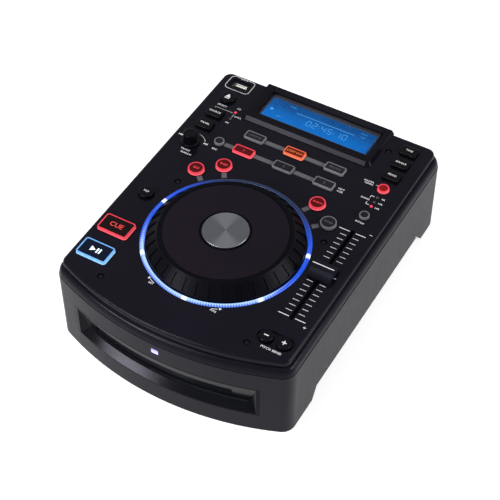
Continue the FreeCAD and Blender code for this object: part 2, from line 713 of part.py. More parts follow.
def jog_cap():
    """The spun metal cap in the middle of the wheel."""
    top = JOG_TOP_Z + CAP_RISE
    cap = rod(CAP_R, JOG_TOP_Z - DISC_T, top, 0, JOG_Y)
    return cap.makeChamfer(0.35, top_edges(cap, top))


def jog_shaft():
    """The wheel's spindle, turning in the bracket's bearing boss."""
    roof = JOG_TOP_Z - DISC_T - JOG_WALL
    shaft = rod(SPINDLE_R, BOSS_BOTTOM_Z - FIT - CODE_DISC_T - 1.6, roof + 0.4, 0, JOG_Y)
    return shaft


def encoder_disc():
    """The slotted code disc on the spindle's foot."""
    top = BOSS_BOTTOM_Z - FIT
    disc = tube(CODE_DISC_R, SPINDLE_R, top - CODE_DISC_T, top, 0, JOG_Y)
    slots = []
    for i in range(24):
        cut = box(CODE_DISC_R - 3.2, CODE_DISC_R - 1.0, -0.45, 0.45, top - 2, top + 1)
        cut.rotate(V(0, 0, 0), UP, 15.0 * i)
        cut.translate(V(0, JOG_Y, 0))
        slots.append(cut)
    return disc.cut(slots)


def jog_bracket():
    """The dish under the wheel: screwed to the deck, with six windows and the bearing boss."""
    floor = tube(BRACKET_R, SPINDLE_R + RUNNING, BRACKET_FLOOR_Z, BRACKET_FLOOR_Z + BRACKET_WALL, 0, JOG_Y)
    board_foot = DECK_UNDER_Z - SEAT - RING_FLANGE_T - 0.9 - BOARD_T
    wall = tube(BRACKET_R, RING_R + RING_FLANGE + FIT, BRACKET_FLOOR_Z, DECK_UNDER_Z, 0, JOG_Y)
    ledge = tube(BRACKET_R - 1, RING_INNER_R + 1.0, BRACKET_FLOOR_Z, board_foot, 0, JOG_Y)
    boss = tube(BOSS_R, SPINDLE_R + RUNNING, BOSS_BOTTOM_Z, BOSS_TOP_Z, 0, JOG_Y)
    dish = floor.fuse([wall, ledge, boss])
    windows = []
    for i in range(6):
        window = rod(14.0, BRACKET_FLOOR_Z - 1, BRACKET_FLOOR_Z + BRACKET_WALL + 1, 40.0, 0)
        window.rotate(V(0, 0, 0), UP, 60.0 * i + 30)
        window.translate(V(0, JOG_Y, 0))
        windows.append(window)
    return dish.cut(windows)


def hood_outline(grow, z):
    """The display hood from above: straight back, round front corners."""
    w = HOOD_W / 2 + grow
    y0 = HOOD_FRONT_Y - grow
    y1 = HOOD_BACK_Y
    r = HOOD_CORNER_R + grow
    k = r * (1 - math.sqrt(0.5))
    edges = [
        Part.LineSegment(V(-w + r, y0, z), V(w - r, y0, z)),
        Part.Arc(V(w - r, y0, z), V(w - k, y0 + k, z), V(w, y0 + r, z)),
        Part.LineSegment(V(w, y0 + r, z), V(w, y1, z)),
        Part.LineSegment(V(w, y1, z), V(-w, y1, z)),
        Part.LineSegment(V(-w, y1, z), V(-w, y0 + r, z)),
        Part.Arc(V(-w, y0 + r, z), V(-w + k, y0 + k, z), V(-w + r, y0, z)),
    ]
    return Part.Wire([e.toShape() for e in edges])


def display_hood():
    """The raised display surround with sloping sides and a rim that falls to the window."""
    top = TOP_Z + HOOD_RISE
    body = Part.makeLoft([hood_outline(0.0, TOP_Z), hood_outline(-HOOD_SLOPE, top)], True, True)
    plateau_back = BACK_Y - PLATEAU_INSET
    body = body.cut(box(-HALF_W, HALF_W, plateau_back, BACK_Y + 5, TOP_Z - 5, top + 5))
    well_low = rounded_rect(0, WINDOW_Y, WINDOW_W - 2 * RIM_SLOPE, WINDOW_D - 2 * RIM_SLOPE, 1.0, TOP_Z - 0.01)
    well_high = rounded_rect(0, WINDOW_Y, WINDOW_W + 2 * RIM_SLOPE, WINDOW_D + 2 * RIM_SLOPE,
                             2.0 + RIM_SLOPE, top + 0.01)
    well = Part.makeLoft([well_low, well_high], True, True)
    collar = block(0, WINDOW_Y, WINDOW_W - 2 * SEAT, WINDOW_D - 2 * SEAT, 1.8, WINDOW_TOP_Z, TOP_Z + 0.5)
    throat = block(0, WINDOW_Y, WINDOW_W - 2.4, WINDOW_D - 2.4, 1.2, WINDOW_TOP_Z - 1, top + 1)
    return body.cut(well).fuse(collar).cut(throat)


def display_window():
    """The clear window plate, held under the hood's collar."""
    return block(0, WINDOW_Y, WINDOW_W - 2 * SEAT, WINDOW_D - 2 * SEAT, 1.8,
                 WINDOW_TOP_Z - WINDOW_T, WINDOW_TOP_Z)


def lcd_module():
    """The display glass with its backlight, on the control board under the window."""
    top = WINDOW_TOP_Z - WINDOW_T - SEAT
    glass = block(0, WINDOW_Y, WINDOW_W - 3.0, WINDOW_D - 3.0, 1.0, top - 1.4, top)
    light = block(0, WINDOW_Y, WINDOW_W + 2.0, WINDOW_D + 1.0, 1.0, CONTROL_BOARD_Z + BOARD_T, DECK_UNDER_Z - SEAT)
    return light.fuse(glass)


def usb_socket():
    """The data socket: folded metal shell with its contact tongue, mouth upwards."""
    top = TOP_Z - USB_WELL
    low = top - USB_DEPTH
    shell = block(-COLUMN_X, USB_Y, USB_W, USB_D, 0.5, low, top)
    mouth = block(-COLUMN_X, USB_Y, USB_W - 2 * USB_WALL, USB_D - 2 * USB_WALL, 0.3, low + 1.0, top + 1)
    tongue = box(-COLUMN_X - 5.4, -COLUMN_X + 5.4, USB_Y + 0.2, USB_Y + 2.0, low + 0.5, top - 1.2)
    return shell.cut(mouth).fuse(tongue)


def fader_cap():
    """The fader's grip: a saddle with a raised centre ridge, on a flat stem."""
    low = TOP_Z + FADER_CAP_LIFT
    top = low + FADER_CAP_H
    half = FADER_CAP_D / 2
    ridge = 2.4
    side = COLUMN_X - FADER_CAP_W / 2
    foot = low + 2.6

    def at(y, z):
        return V(side, FADER_Y + y, z)

    edges = [
        Part.LineSegment(at(-half, low), at(half, low)),
        Part.LineSegment(at(half, low), at(half, foot)),
        Part.Arc(at(half, foot), at(half * 0.5, foot + 1.9), at(ridge, top)),
        Part.Arc(at(ridge, top), at(0, top - 0.4), at(-ridge, top)),
        Part.Arc(at(-ridge, top), at(-half * 0.5, foot + 1.9), at(-half, foot)),
        Part.LineSegment(at(-half, foot), at(-half, low)),
    ]
    saddle = Part.Face(Part.Wire([e.toShape() for e in edges])).extrude(V(FADER_CAP_W, 0, 0))
    bottom = fader_body_top() + FIT
    stem = box(COLUMN_X - FADER_STEM_W / 2, COLUMN_X + FADER_STEM_W / 2, FADER_Y - FADER_STEM_D / 2,
               FADER_Y + FADER_STEM_D / 2, bottom - 3.0, low + 1.0)
    return saddle.fuse(stem)


def fader_body_top():
    return DECK_UNDER_Z


def fader_body():
    """The slide control's long metal case, open along its top for the stem."""
    half_l = FADER_TRAVEL / 2 + 14.0
    top = fader_body_top()
    x0, x1 = COLUMN_X - FADER_BODY_W / 2, COLUMN_X + FADER_BODY_W / 2
    body = box(x0, x1, FADER_Y - half_l, FADER_Y + half_l, top - FADER_BODY_T, top)
    reach = FADER_TRAVEL / 2 + FADER_STEM_D / 2 + 1.0
    slot = box(COLUMN_X - FADER_SLOT_W / 2, COLUMN_X + FADER_SLOT_W / 2, FADER_Y - reach, FADER_Y + reach,
               top - FADER_BODY_T + 1.0, top + 1)
    return body.cut(slot)


def track_knob():
    """The tall ribbed knob, hollow over its shaft."""
    low = TOP_Z + KNOB_LIFT
    top = low + KNOB_H
    knob = rod(KNOB_R, low, top, -COLUMN_X, KNOB_Y)
    knob = round_top(knob, top, 1.0)
    skirt = rod(KNOB_SKIRT_R, low, low + KNOB_SKIRT_T, -COLUMN_X, KNOB_Y)
    knob = knob.fuse(skirt.makeChamfer(0.8, top_edges(skirt, low + KNOB_SKIRT_T)))
    bore = rod(KNOB_SHAFT_R + KNOB_BORE_GAP, low - 1, top - 3.0, -COLUMN_X, KNOB_Y)
    flutes = []
    for i in range(KNOB_RIBS):
        a = 2 * math.pi * i / KNOB_RIBS
        x = -COLUMN_X + (KNOB_R + 0.35) * math.cos(a)
        y = KNOB_Y + (KNOB_R + 0.35) * math.sin(a)
        flutes.append(rod(KNOB_RIB, low + KNOB_SKIRT_T + 0.4, top + 1, x, y))
    return knob.cut([bore] + flutes)


def track_shaft():
    """The knob's shaft, which turns and pushes."""
    top = TOP_Z + KNOB_LIFT + KNOB_H - 3.0 - FIT
    return rod(KNOB_SHAFT_R, SWITCH_TOP_Z + KEY_TRAVEL, top, -COLUMN_X, KNOB_Y)


def track_encoder():
    """The rotary encoder under the knob, with its threaded neck as a plain sleeve."""
    low = CONTROL_BOARD_Z + BOARD_T
    half = ENCODER_W / 2
    body = box(-COLUMN_X - half, -COLUMN_X + half, KNOB_Y - half, KNOB_Y + half, low, DECK_UNDER_Z - SEAT)
    neck = rod(KNOB_SHAFT_R + 0.85, DECK_UNDER_Z - SEAT - 1, TOP_Z, -COLUMN_X, KNOB_Y)
    bore = rod(KNOB_SHAFT_R + RUNNING, low + 0.8, TOP_Z + 1, -COLUMN_X, KNOB_Y)
    return body.fuse(neck).cut(bore)


def control_board(keys):
    """The board behind the deck, cut round the wheel, the fader and the data socket."""
    low = CONTROL_BOARD_Z
    board = case_solid(CONTROL_INSET, low, low + BOARD_T)
    over = low + BOARD_T + 1
    holes = [rod(BRACKET_R + FIT, low - 1, over, 0, JOG_Y)]
    half_l = FADER_TRAVEL / 2 + 14.0 + FIT
    holes.append(box(COLUMN_X - FADER_BODY_W / 2 - FIT, COLUMN_X + FADER_BODY_W / 2 + FIT,
                     FADER_Y - half_l, FADER_Y + half_l, low - 1, over))
    holes.append(block(-COLUMN_X, USB_Y, USB_W + 2 * FIT, USB_D + 2 * FIT, 0.6, low - 1, over))
    return board.cut(holes)


def rear_panel():
    """The set-back rear panel with its socket openings, and the recess round it."""
    face_y = BACK_Y - REAR_SET_BACK
    w = REAR_HALF_W - SEAT
    tray = box(-w, w, face_y - REAR_T, BACK_Y - 0.6, REAR_BOTTOM_Z + SEAT, REAR_TOP_Z - SEAT)
    tray = tray.cut(box(-w + 2, w - 2, face_y, BACK_Y + 1, REAR_BOTTOM_Z + SEAT + 2, REAR_TOP_Z - SEAT - 2))
    holes = []
    for x in PHONO_XS:
        holes.append(Part.makeCylinder(PHONO_R + SEAT, 20, V(x, face_y - 10, PHONO_Z), V(0, 1, 0)))
    b = SEAT
    holes.append(box(USB_B_X - USB_B_W / 2 - b, USB_B_X + USB_B_W / 2 + b, face_y - 10, face_y + 10,
                     REAR_Z - USB_B_H / 2 - b, REAR_Z + USB_B_H / 2 + b))
    holes.append(box(INLET_X - INLET_W / 2 + 1.6, INLET_X + INLET_W / 2 - 1.6, face_y - 10, face_y + 10,
                     REAR_Z - INLET_H / 2 + 1.6, REAR_Z + INLET_H / 2 - 1.6))
    return tray.cut(holes)


def phono_jacks():
    """Three phono sockets: a block behind the panel and a sleeve through it."""
    face_y = BACK_Y - REAR_SET_BACK
    made = []
    for x in PHONO_XS:
        back = box(x - 6, x + 6, face_y - REAR_T - SEAT - 12, face_y - REAR_T - SEAT, PHONO_Z - 7, PHONO_Z + 7)
        sleeve = Part.makeCylinder(PHONO_R, PHONO_LEN + REAR_T + 1, V(x, face_y - REAR_T - 1, PHONO_Z), V(0, 1, 0))
        bore = Part.makeCylinder(PHONO_BORE_R, 20, V(x, face_y - 4, PHONO_Z), V(0, 1, 0))
        made.append(back.fuse(sleeve).cut(bore))
    return Part.Compound(made)


def usb_b_socket():
    """The square data socket at the rear."""
    face_y = BACK_Y - REAR_SET_BACK
    hx, hz = USB_B_W / 2, USB_B_H / 2
    body = box(USB_B_X - hx, USB_B_X + hx, face_y - 15, face_y + 1.0, REAR_Z - hz, REAR_Z + hz)
    mouth = box(USB_B_X - hx + 1.6, USB_B_X + hx - 1.6, face_y - 9, face_y + 3, REAR_Z - hz + 1.4, REAR_Z + hz - 1.4)
    tongue = box(USB_B_X - 2.8, USB_B_X + 2.8, face_y - 9.5, face_y - 1.2, REAR_Z - 1.6, REAR_Z + 1.6)
    return body.cut(mouth).fuse(tongue)


def rocker_x():
    return INLET_X + INLET_W / 2 - 4.0 - ROCKER_W / 2


def inlet_mouth_x():
    return INLET_X - INLET_W / 2 + 3.5 + INLET_MOUTH_W / 2


def mains_inlet():
    """The moulded mains inlet with its switch frame beside the socket."""
    face_y = BACK_Y - REAR_SET_BACK
    hx, hz = INLET_W / 2, INLET_H / 2
    flange = block_y(INLET_X, REAR_Z, INLET_W, INLET_H, 2.5, face_y, face_y + 2.2)
    body = box(INLET_X - hx + 1.9, INLET_X + hx - 1.9, face_y - 20, face_y + 0.5,
               REAR_Z - hz + 1.9, REAR_Z + hz - 1.9)
    mouth_x = inlet_mouth_x()
    mouth = box(mouth_x - INLET_MOUTH_W / 2, mouth_x + INLET_MOUTH_W / 2, face_y - INLET_DEPTH, face_y + 3,
                REAR_Z - INLET_MOUTH_H / 2, REAR_Z + INLET_MOUTH_H / 2)
    mouth = mouth.makeChamfer(3.0, [e for e in mouth.Edges if edge_along_y(e) and e.BoundBox.ZMax > REAR_Z])
    frame = box(rocker_x() - ROCKER_W / 2 - FIT, rocker_x() + ROCKER_W / 2 + FIT, face_y - 14, face_y + 3,
                REAR_Z - ROCKER_H / 2 - 1.0, REAR_Z + ROCKER_H / 2 + 1.0)
    pins = []
    for dx, dz in ((-7.0, -2.0), (7.0, -2.0), (0.0, 2.0)):
        pins.append(box(mouth_x + dx - 1, mouth_x + dx + 1, face_y - INLET_DEPTH - 1, face_y - 3.5,
                        REAR_Z + dz - 2, REAR_Z + dz + 2))
    bore = Part.makeCylinder(ROCKER_PIVOT_R + RUNNING, ROCKER_W + 4.0,
                             V(rocker_x() - ROCKER_W / 2 - 2.0, rocker_y(), REAR_Z), V(1, 0, 0))
    return flange.fuse(body).cut([mouth, frame, bore]).fuse(pins)


def edge_along_y(edge):
    b = edge.BoundBox
    return b.XLength < 1e-6 and b.ZLength < 1e-6


def block_y(x, z, w, h, r, y0, y1):
    """A rounded plate in the XZ plane."""
    plate = block(x, -z, w, h, r, y0, y1)
    plate.rotate(V(0, 0, 0), V(1, 0, 0), -90)
    return plate


def rocker_y():
    return BACK_Y - REAR_SET_BACK - 3.0


def power_rocker():
    """The power switch's rocker on its pivot pin."""
    y0 = rocker_y()
    x0 = rocker_x() - ROCKER_W / 2
    h = ROCKER_H / 2
    points = [(y0 - 3.0, -4.0), (y0 - 3.0, 4.0), (y0 + 1.5, h - 1.0), (y0 + 7.0, h - 1.6),
              (y0 + 5.2, 0.0), (y0 + 4.0, -h + 1.0), (y0 + 1.0, -h + 1.0)]
    loop = [V(x0, y, REAR_Z + z) for y, z in points]
    loop.append(loop[0])
    body = Part.Face(Part.makePolygon(loop)).extrude(V(ROCKER_W, 0, 0))
    pin = Part.makeCylinder(ROCKER_PIVOT_R, ROCKER_W + 3.0, V(x0 - 1.5, y0, REAR_Z), V(1, 0, 0))
    return body.fuse(pin)


def bottom_plate():
    """The steel floor between the feet, with vent slots."""
    z0 = BELLY_Z + FLOOR_T
    y1 = REAR_FOOT_Y - REAR_RAMP * BELLY_Z / REAR_RAMP_H
    span = box(-HALF_W, HALF_W, FRONT_FOOT_Y + FRONT_RAMP + FIT, y1 - FIT, 0, PARTING_Z)
    plate = case_solid(CASE_WALL + FIT, z0, z0 + PLATE_T).common(span)
    plate = plate.cut([rod(POST_R + FIT, z0 - 1, z0 + PLATE_T + 1, x, y) for x, y in case_posts()])
    slots = []
    for side in (-1, 1):
        for i in range(8):
            y = 30.0 + i * 7.0
            slots.append(block(side * 66.0, y, 34.0, 2.6, 1.25, z0 - 1, z0 + PLATE_T + 1))
    return plate.cut(slots)


def foot_places():
    x = HALF_W - 22.0
    return [(-x, -112.0), (x, -112.0), (-x, 132.0), (x, 132.0)]


def rubber_feet():
    """Four rubber pads under the front and rear feet."""
    made = []
    for x, y in foot_places():
        made.append(rod(FOOT_PAD_R, 0, FOOT_PAD_T, x, y))
    return Part.Compound(made)


def board_posts(x0, x1, y0, y1, z1):
    """Four posts that stand a board off the bottom plate."""
    m = 5.0
    return [rod(POST_R, PLATE_TOP_Z, z1, x, y) for x in (x0 + m, x1 - m) for y in (y0 + m, y1 - m)]


def main_board():
    """The main board on four posts, with a few of its larger packages."""
    x0 = -HALF_W + BOARD_INSET
    x1 = x0 + MAIN_BOARD_W
    y0, y1 = MAIN_BOARD_Y0, MAIN_BOARD_Y0 + MAIN_BOARD_D
    z = MAIN_BOARD_Z
    board = box(x0, x1, y0, y1, z, z + BOARD_T)
    middle = (y0 + y1) / 2
    chips = [box(x0 + 24, x0 + 52, middle - 14, middle + 14, z + BOARD_T, z + BOARD_T + 2.2),
             box(x1 - 40, x1 - 22, middle - 9, middle + 9, z + BOARD_T, z + BOARD_T + 1.6)]
    return board.fuse(chips + board_posts(x0, x1, y0, y1, z))


def power_board():
    """The power supply board with its transformer and storage capacitors."""
    x1 = HALF_W - BOARD_INSET
    x0 = x1 - POWER_BOARD_W
    y0, y1 = MAIN_BOARD_Y0, MAIN_BOARD_Y0 + POWER_BOARD_D
    z = MAIN_BOARD_Z
    board = box(x0, x1, y0, y1, z, z + BOARD_T)
    parts = [box(x0 + 14, x0 + 44, y0 + 22, y0 + 50, z + BOARD_T, z + BOARD_T + 24)]
    for i in range(3):
        parts.append(rod(6.0, z + BOARD_T, z + BOARD_T + 20, x0 + 12 + i * 15, y0 + 68))
    return board.fuse(parts + board_posts(x0, x1, y0, y1, z))


def drive_chassis():
    """The drive's folded pan with its rails, motor boss and roller bearings."""
    w = DRIVE_HALF_W
    t = DRIVE_SHEET
    pan = box(-w, w, DRIVE_FRONT_Y, DRIVE_BACK_Y, DRIVE_BOTTOM_Z, DRIVE_TOP_Z)
    hollow = box(-w + t, w - t, DRIVE_FRONT_Y + t, DRIVE_BACK_Y - t, DRIVE_BOTTOM_Z + t, DRIVE_TOP_Z + 1)
    mouth = box(-SLOT_HALF_L - 3, SLOT_HALF_L + 3, DRIVE_FRONT_Y - 1, DRIVE_FRONT_Y + t + 1,
                SLOT_Z - SLOT_H, SLOT_Z + SLOT_H)
    axle_z = roller_z()
    bearing = Part.makeCylinder(ROLLER_SHAFT_R + RUNNING, 4 * w, V(-2 * w, ROLLER_Y, axle_z), V(1, 0, 0))
    pan = pan.cut([hollow, mouth])
    motor_top = turntable_z() - FIT
    motor = rod(MOTOR_R, DRIVE_BOTTOM_Z + t - 0.2, motor_top, 0, DISC_Y)
    shaft_bore = rod(ROLLER_SHAFT_R + RUNNING, DRIVE_BOTTOM_Z + t + 2, motor_top + 1, 0, DISC_Y)
    rails = []
    y0 = DISC_Y + SLED_GAP - 2
    y1 = y0 + SLED_D + SLED_TRAVEL + 4
    for side in (-1, 1):
        x = side * (SLED_W / 2 + FIT + RAIL_W / 2)
        rails.append(box(x - RAIL_W / 2, x + RAIL_W / 2, y0, y1, DRIVE_BOTTOM_Z + t - 0.2, sled_z() + SLED_H))
    legs = []
    for x in (-w + 8, w - 8):
        for y in (DRIVE_FRONT_Y + 8, DRIVE_BACK_Y - 8):
            legs.append(rod(POST_R, PLATE_TOP_Z, DRIVE_BOTTOM_Z + 0.2, x, y))
    return pan.fuse([motor] + rails + legs).cut([bearing, shaft_bore])


def roller_z():
    return DISC_PATH_Z - SEAT - ROLLER_R


def turntable_z():
    return DISC_PATH_Z - SEAT - TURNTABLE_CONE_H - TURNTABLE_T


def sled_z():
    return DRIVE_BOTTOM_Z + DRIVE_SHEET + FIT


def feed_roller():
    """The rubber feed roller, waisted so that only its ends grip a disc."""
    half = DRIVE_HALF_W - DRIVE_SHEET - 3.0
    z = roller_z()
    profile = [V(-half, ROLLER_Y, z), V(-half, ROLLER_Y, z + ROLLER_R), V(0, ROLLER_Y, z + ROLLER_R - ROLLER_WAIST),
               V(half, ROLLER_Y, z + ROLLER_R), V(half, ROLLER_Y, z), V(-half, ROLLER_Y, z)]
    roller = Part.Face(Part.makePolygon(profile)).revolve(V(0, ROLLER_Y, z), V(1, 0, 0), 360)
    reach = DRIVE_HALF_W + 1.0
    return roller.fuse(Part.makeCylinder(ROLLER_SHAFT_R, 2 * reach, V(-reach, ROLLER_Y, z), V(1, 0, 0)))


def disc_spindle():
    """The turntable that carries the disc, with its centring cone and shaft."""
    z = turntable_z()
    plate = rod(TURNTABLE_R, z, z + TURNTABLE_T, 0, DISC_Y)
    cone = Part.makeCone(7.4, 5.0, TURNTABLE_CONE_H, V(0, DISC_Y, z + TURNTABLE_T), UP)
    shaft = rod(ROLLER_SHAFT_R, DRIVE_BOTTOM_Z + DRIVE_SHEET + 3, z + 0.5, 0, DISC_Y)
    return plate.fuse([cone, shaft])


def laser_sled():
    """The laser carriage with its lens, between the chassis rails."""
    y0 = DISC_Y + SLED_GAP
    z = sled_z()
    body = box(-SLED_W / 2, SLED_W / 2, y0, y0 + SLED_D, z, z + SLED_H)
    return body.fuse(rod(3.2, z + SLED_H, z + SLED_H + 2.4, 0, y0 + SLED_D / 2))


def build():
    keys = key_list()
    nodes = {
        "base_case": base_case(),
        "top_cover": top_cover(keys),
        "bottom_plate": bottom_plate(),
        "rear_panel": rear_panel(),
        "slot_bezel": slot_bezel(),
        "display_hood": display_hood(),
        "display_window": display_window(),
        "lcd_module": lcd_module(),
        "rubber_feet": rubber_feet(),
        "indicator_lights": indicator_lights(),
        "light_ring": light_ring(),
        "ring_light_board": ring_light_board(),
        "jog_platter": jog_platter(),
        "touch_disc": touch_disc(),
        "jog_cap": jog_cap(),
        "jog_shaft": jog_shaft(),
        "jog_bracket": jog_bracket(),
        "encoder_disc": encoder_disc(),
        "track_knob": track_knob(),
        "track_shaft": track_shaft(),
        "track_encoder": track_encoder(),
        "fader_cap": fader_cap(),
        "fader_body": fader_body(),
        "usb_socket": usb_socket(),
        "control_board": control_board(keys),
        "key_switches": key_switches(keys),
        "main_board": main_board(),
        "power_board": power_board(),
        "phono_jacks": phono_jacks(),
        "usb_b_socket": usb_b_socket(),
        "mains_inlet": mains_inlet(),
        "power_rocker": power_rocker(),
        "drive_chassis": drive_chassis(),
        "feed_roller": feed_roller(),
        "disc_spindle": disc_spindle(),
        "laser_sled": laser_sled(),
    }
    for key in keys:
        nodes[key["name"]] = key_cap(key)
    return nodes


os.makedirs("parts", exist_ok=True)
for name, shape in build().items():
    if not shape.isValid() or shape.Volume <= 0:
        raise RuntimeError("%s is not a valid solid" % name)
    shape.exportStep("parts/%s.step" % name)
    print(name, len(shape.Solids), round(shape.Volume))
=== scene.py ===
import math

import bmesh
import bpy
from mathutils import Matrix, Vector


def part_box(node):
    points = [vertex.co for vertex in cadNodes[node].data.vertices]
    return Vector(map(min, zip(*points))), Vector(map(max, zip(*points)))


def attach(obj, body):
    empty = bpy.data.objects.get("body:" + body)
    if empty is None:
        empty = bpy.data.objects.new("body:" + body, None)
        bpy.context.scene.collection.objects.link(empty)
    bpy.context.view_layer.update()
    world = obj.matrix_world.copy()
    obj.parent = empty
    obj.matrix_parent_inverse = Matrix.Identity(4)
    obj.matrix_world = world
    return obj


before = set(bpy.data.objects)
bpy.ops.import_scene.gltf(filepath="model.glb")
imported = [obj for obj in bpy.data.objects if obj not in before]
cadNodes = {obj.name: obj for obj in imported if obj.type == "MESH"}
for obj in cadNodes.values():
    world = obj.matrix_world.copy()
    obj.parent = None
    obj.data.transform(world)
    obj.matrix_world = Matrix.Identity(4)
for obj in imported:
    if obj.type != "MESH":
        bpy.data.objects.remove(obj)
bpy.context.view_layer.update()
print("frame loaded:", len(cadNodes), "nodes")

mm = 0.001
deckTop = 86.3  # height of the gloss deck, in mm
printGap = 0.04  # how far a printed mark stands off what it is printed on
printDepth = 0.03
bodyHeight = 1.38  # size of a letter's body, where its capitals are 1 high
jogY = -37.5  # the wheel's centre, and the ring's and the cap's
coolGloss = (0.87, 0.83, 1.0)  # the plastics' highlights lean a little towards violet


def addNode(tree, kind, settings=None, sockets=None):
    # One shader node: its settings first, then the values or wires of its sockets
    made = tree.nodes.new(kind)
    for key, value in (settings or {}).items():
        setattr(made, key, value)
    for key, value in (sockets or {}).items():
        if isinstance(value, Wire):
            tree.links.new(value.socket, made.inputs[key])
        else:
            made.inputs[key].default_value = value
    return made


# A number or a vector in a shader, with ordinary arithmetic
class Wire:
    def __init__(self, tree, socket):
        self.tree = tree
        self.socket = socket

    def maths(self, operation, *values):
        made = addNode(self.tree, "ShaderNodeMath", {"operation": operation}, dict(enumerate(values)))
        return Wire(self.tree, made.outputs[0])

    def __add__(self, other):
        return self.maths("ADD", self, other)

    def __radd__(self, other):
        return self.maths("ADD", other, self)

    def __sub__(self, other):
        return self.maths("SUBTRACT", self, other)

    def __rsub__(self, other):
        return self.maths("SUBTRACT", other, self)

    def __mul__(self, other):
        return self.maths("MULTIPLY", self, other)

    def __rmul__(self, other):
        return self.maths("MULTIPLY", other, self)

    def __truediv__(self, other):
        return self.maths("DIVIDE", self, other)

    def __pow__(self, other):
        return self.maths("POWER", self, other)

    def sine(self):
        return self.maths("SINE", self)

    def cosine(self):
        return self.maths("COSINE", self)

    def size(self):
        return self.maths("ABSOLUTE", self)

    def smooth(self, low, high, first=0.0, last=1.0):
        sockets = {0: self, 1: low, 2: high, 3: first, 4: last}
        made = addNode(self.tree, "ShaderNodeMapRange", {"interpolation_type": "SMOOTHSTEP"}, sockets)
        return Wire(self.tree, made.outputs[0])


def mixColours(tree, factor, first, second):
    sockets = {0: factor}
    for key, value in ((6, first), (7, second)):
        sockets[key] = value if isinstance(value, Wire) else (*value, 1.0)
    made = addNode(tree, "ShaderNodeMix", {"data_type": "RGBA"}, sockets)
    return Wire(tree, made.outputs[2])


# A material on its way: node tree, shader and the points of the surface
class Finish:
    def __init__(self, name, fixed):
        self.material = bpy.data.materials.new(name)
        self.material.use_nodes = True
        self.tree = self.material.node_tree
        self.shader = self.tree.nodes["Principled BSDF"]
        for key, value in fixed.items():
            self.shader.inputs[key].default_value = (*value, 1.0) if isinstance(value, tuple) else value
        self.place = Wire(self.tree, addNode(self.tree, "ShaderNodeTexCoord").outputs["Object"])

    def vector(self, operation, *values):
        made = addNode(self.tree, "ShaderNodeVectorMath", {"operation": operation}, dict(enumerate(values)))
        return Wire(self.tree, made.outputs[0])

    def axes(self):
        split = addNode(self.tree, "ShaderNodeSeparateXYZ", None, {0: self.place})
        return [Wire(self.tree, split.outputs[i]) for i in range(3)]

    def noise(self, scale, detail=2.0, roughness=0.5, stretch=None):
        where = self.vector("MULTIPLY", self.place, stretch) if stretch else self.place
        sockets = {"Vector": where, "Scale": scale, "Detail": detail, "Roughness": roughness}
        return Wire(self.tree, addNode(self.tree, "ShaderNodeTexNoise", None, sockets).outputs[0])

    def mixed(self, factor, first, second):
        return mixColours(self.tree, factor, first, second)

    def feed(self, name, wire):
        self.tree.links.new(wire.socket, self.shader.inputs[name])

    def bump(self, height, distance, strength=1.0):
        sockets = {"Height": height, "Distance": distance, "Strength": strength}
        made = addNode(self.tree, "ShaderNodeBump", None, sockets)
        self.feed("Normal", Wire(self.tree, made.outputs[0]))


def mouldedPlastic(name, look):
    # Fine grain, slow drift in colour, faint handling marks in the gloss
    finish = Finish(name, {"Specular IOR Level": look["sheen"], "Specular Tint": coolGloss})
    drift = finish.noise(18.0, 3.0)
    grain = finish.noise(look["grain"], 2.0, 0.6)
    finish.feed("Base Color", finish.mixed(drift.smooth(0.3, 0.7), look["dark"], look["light"]))
    smears = finish.noise(60.0, 4.0, 0.65, (1.0, 3.0, 1.0)).smooth(0.35, 0.75)
    finish.feed("Roughness", smears * 0.03 + look["rough"] + (grain - 0.5) * 0.05)
    finish.bump(grain, look["depth"])
    return finish.material


def litPlastic(name, look):
    # Clear plastic with a lamp behind it: strongest low on the rim, with fine streaks
    finish = Finish(name, {"Roughness": 0.3, "Emission Strength": look.get("power", 1.0),
                           "Specular IOR Level": 0.06})
    height = finish.axes()[2]
    streak = finish.noise(look.get("streak", 420.0), 2.0)
    low = height.smooth(look["low"] * mm, look["high"] * mm, 1.0, 0.0)
    blend = (low * 0.7 + streak * 0.3).smooth(0.1, 0.9)
    finish.feed("Emission Color", finish.mixed(blend, look["edge"], look["core"]))
    finish.feed("Base Color", finish.mixed(streak, look["body"], look["edge"]))
    return finish.material


def sheetMetal(name, look):
    # Rolled or plated sheet: stretched brushing, faint blotches
    finish = Finish(name, {"Metallic": 1.0})
    brushing = finish.noise(look["scale"], 3.0, 0.6, look["stretch"])
    finish.feed("Base Color", finish.mixed(finish.noise(30.0), look["dark"], look["light"]))
    finish.feed("Roughness", brushing * 0.2 + look["rough"])
    finish.bump(brushing, 0.00003)
    return finish.material


def paintedBoard(name, look):
    # Circuit board lacquer with copper tracks under it
    finish = Finish(name, {"Roughness": 0.35})
    x, y = finish.axes()[:2]
    tracks = ((x * 1300.0).sine() * (y * 900.0).sine()).smooth(0.3, 0.5)
    finish.feed("Base Color", finish.mixed(tracks, look["lacquer"], look["track"]))
    finish.bump(tracks, 0.00002)
    return finish.material


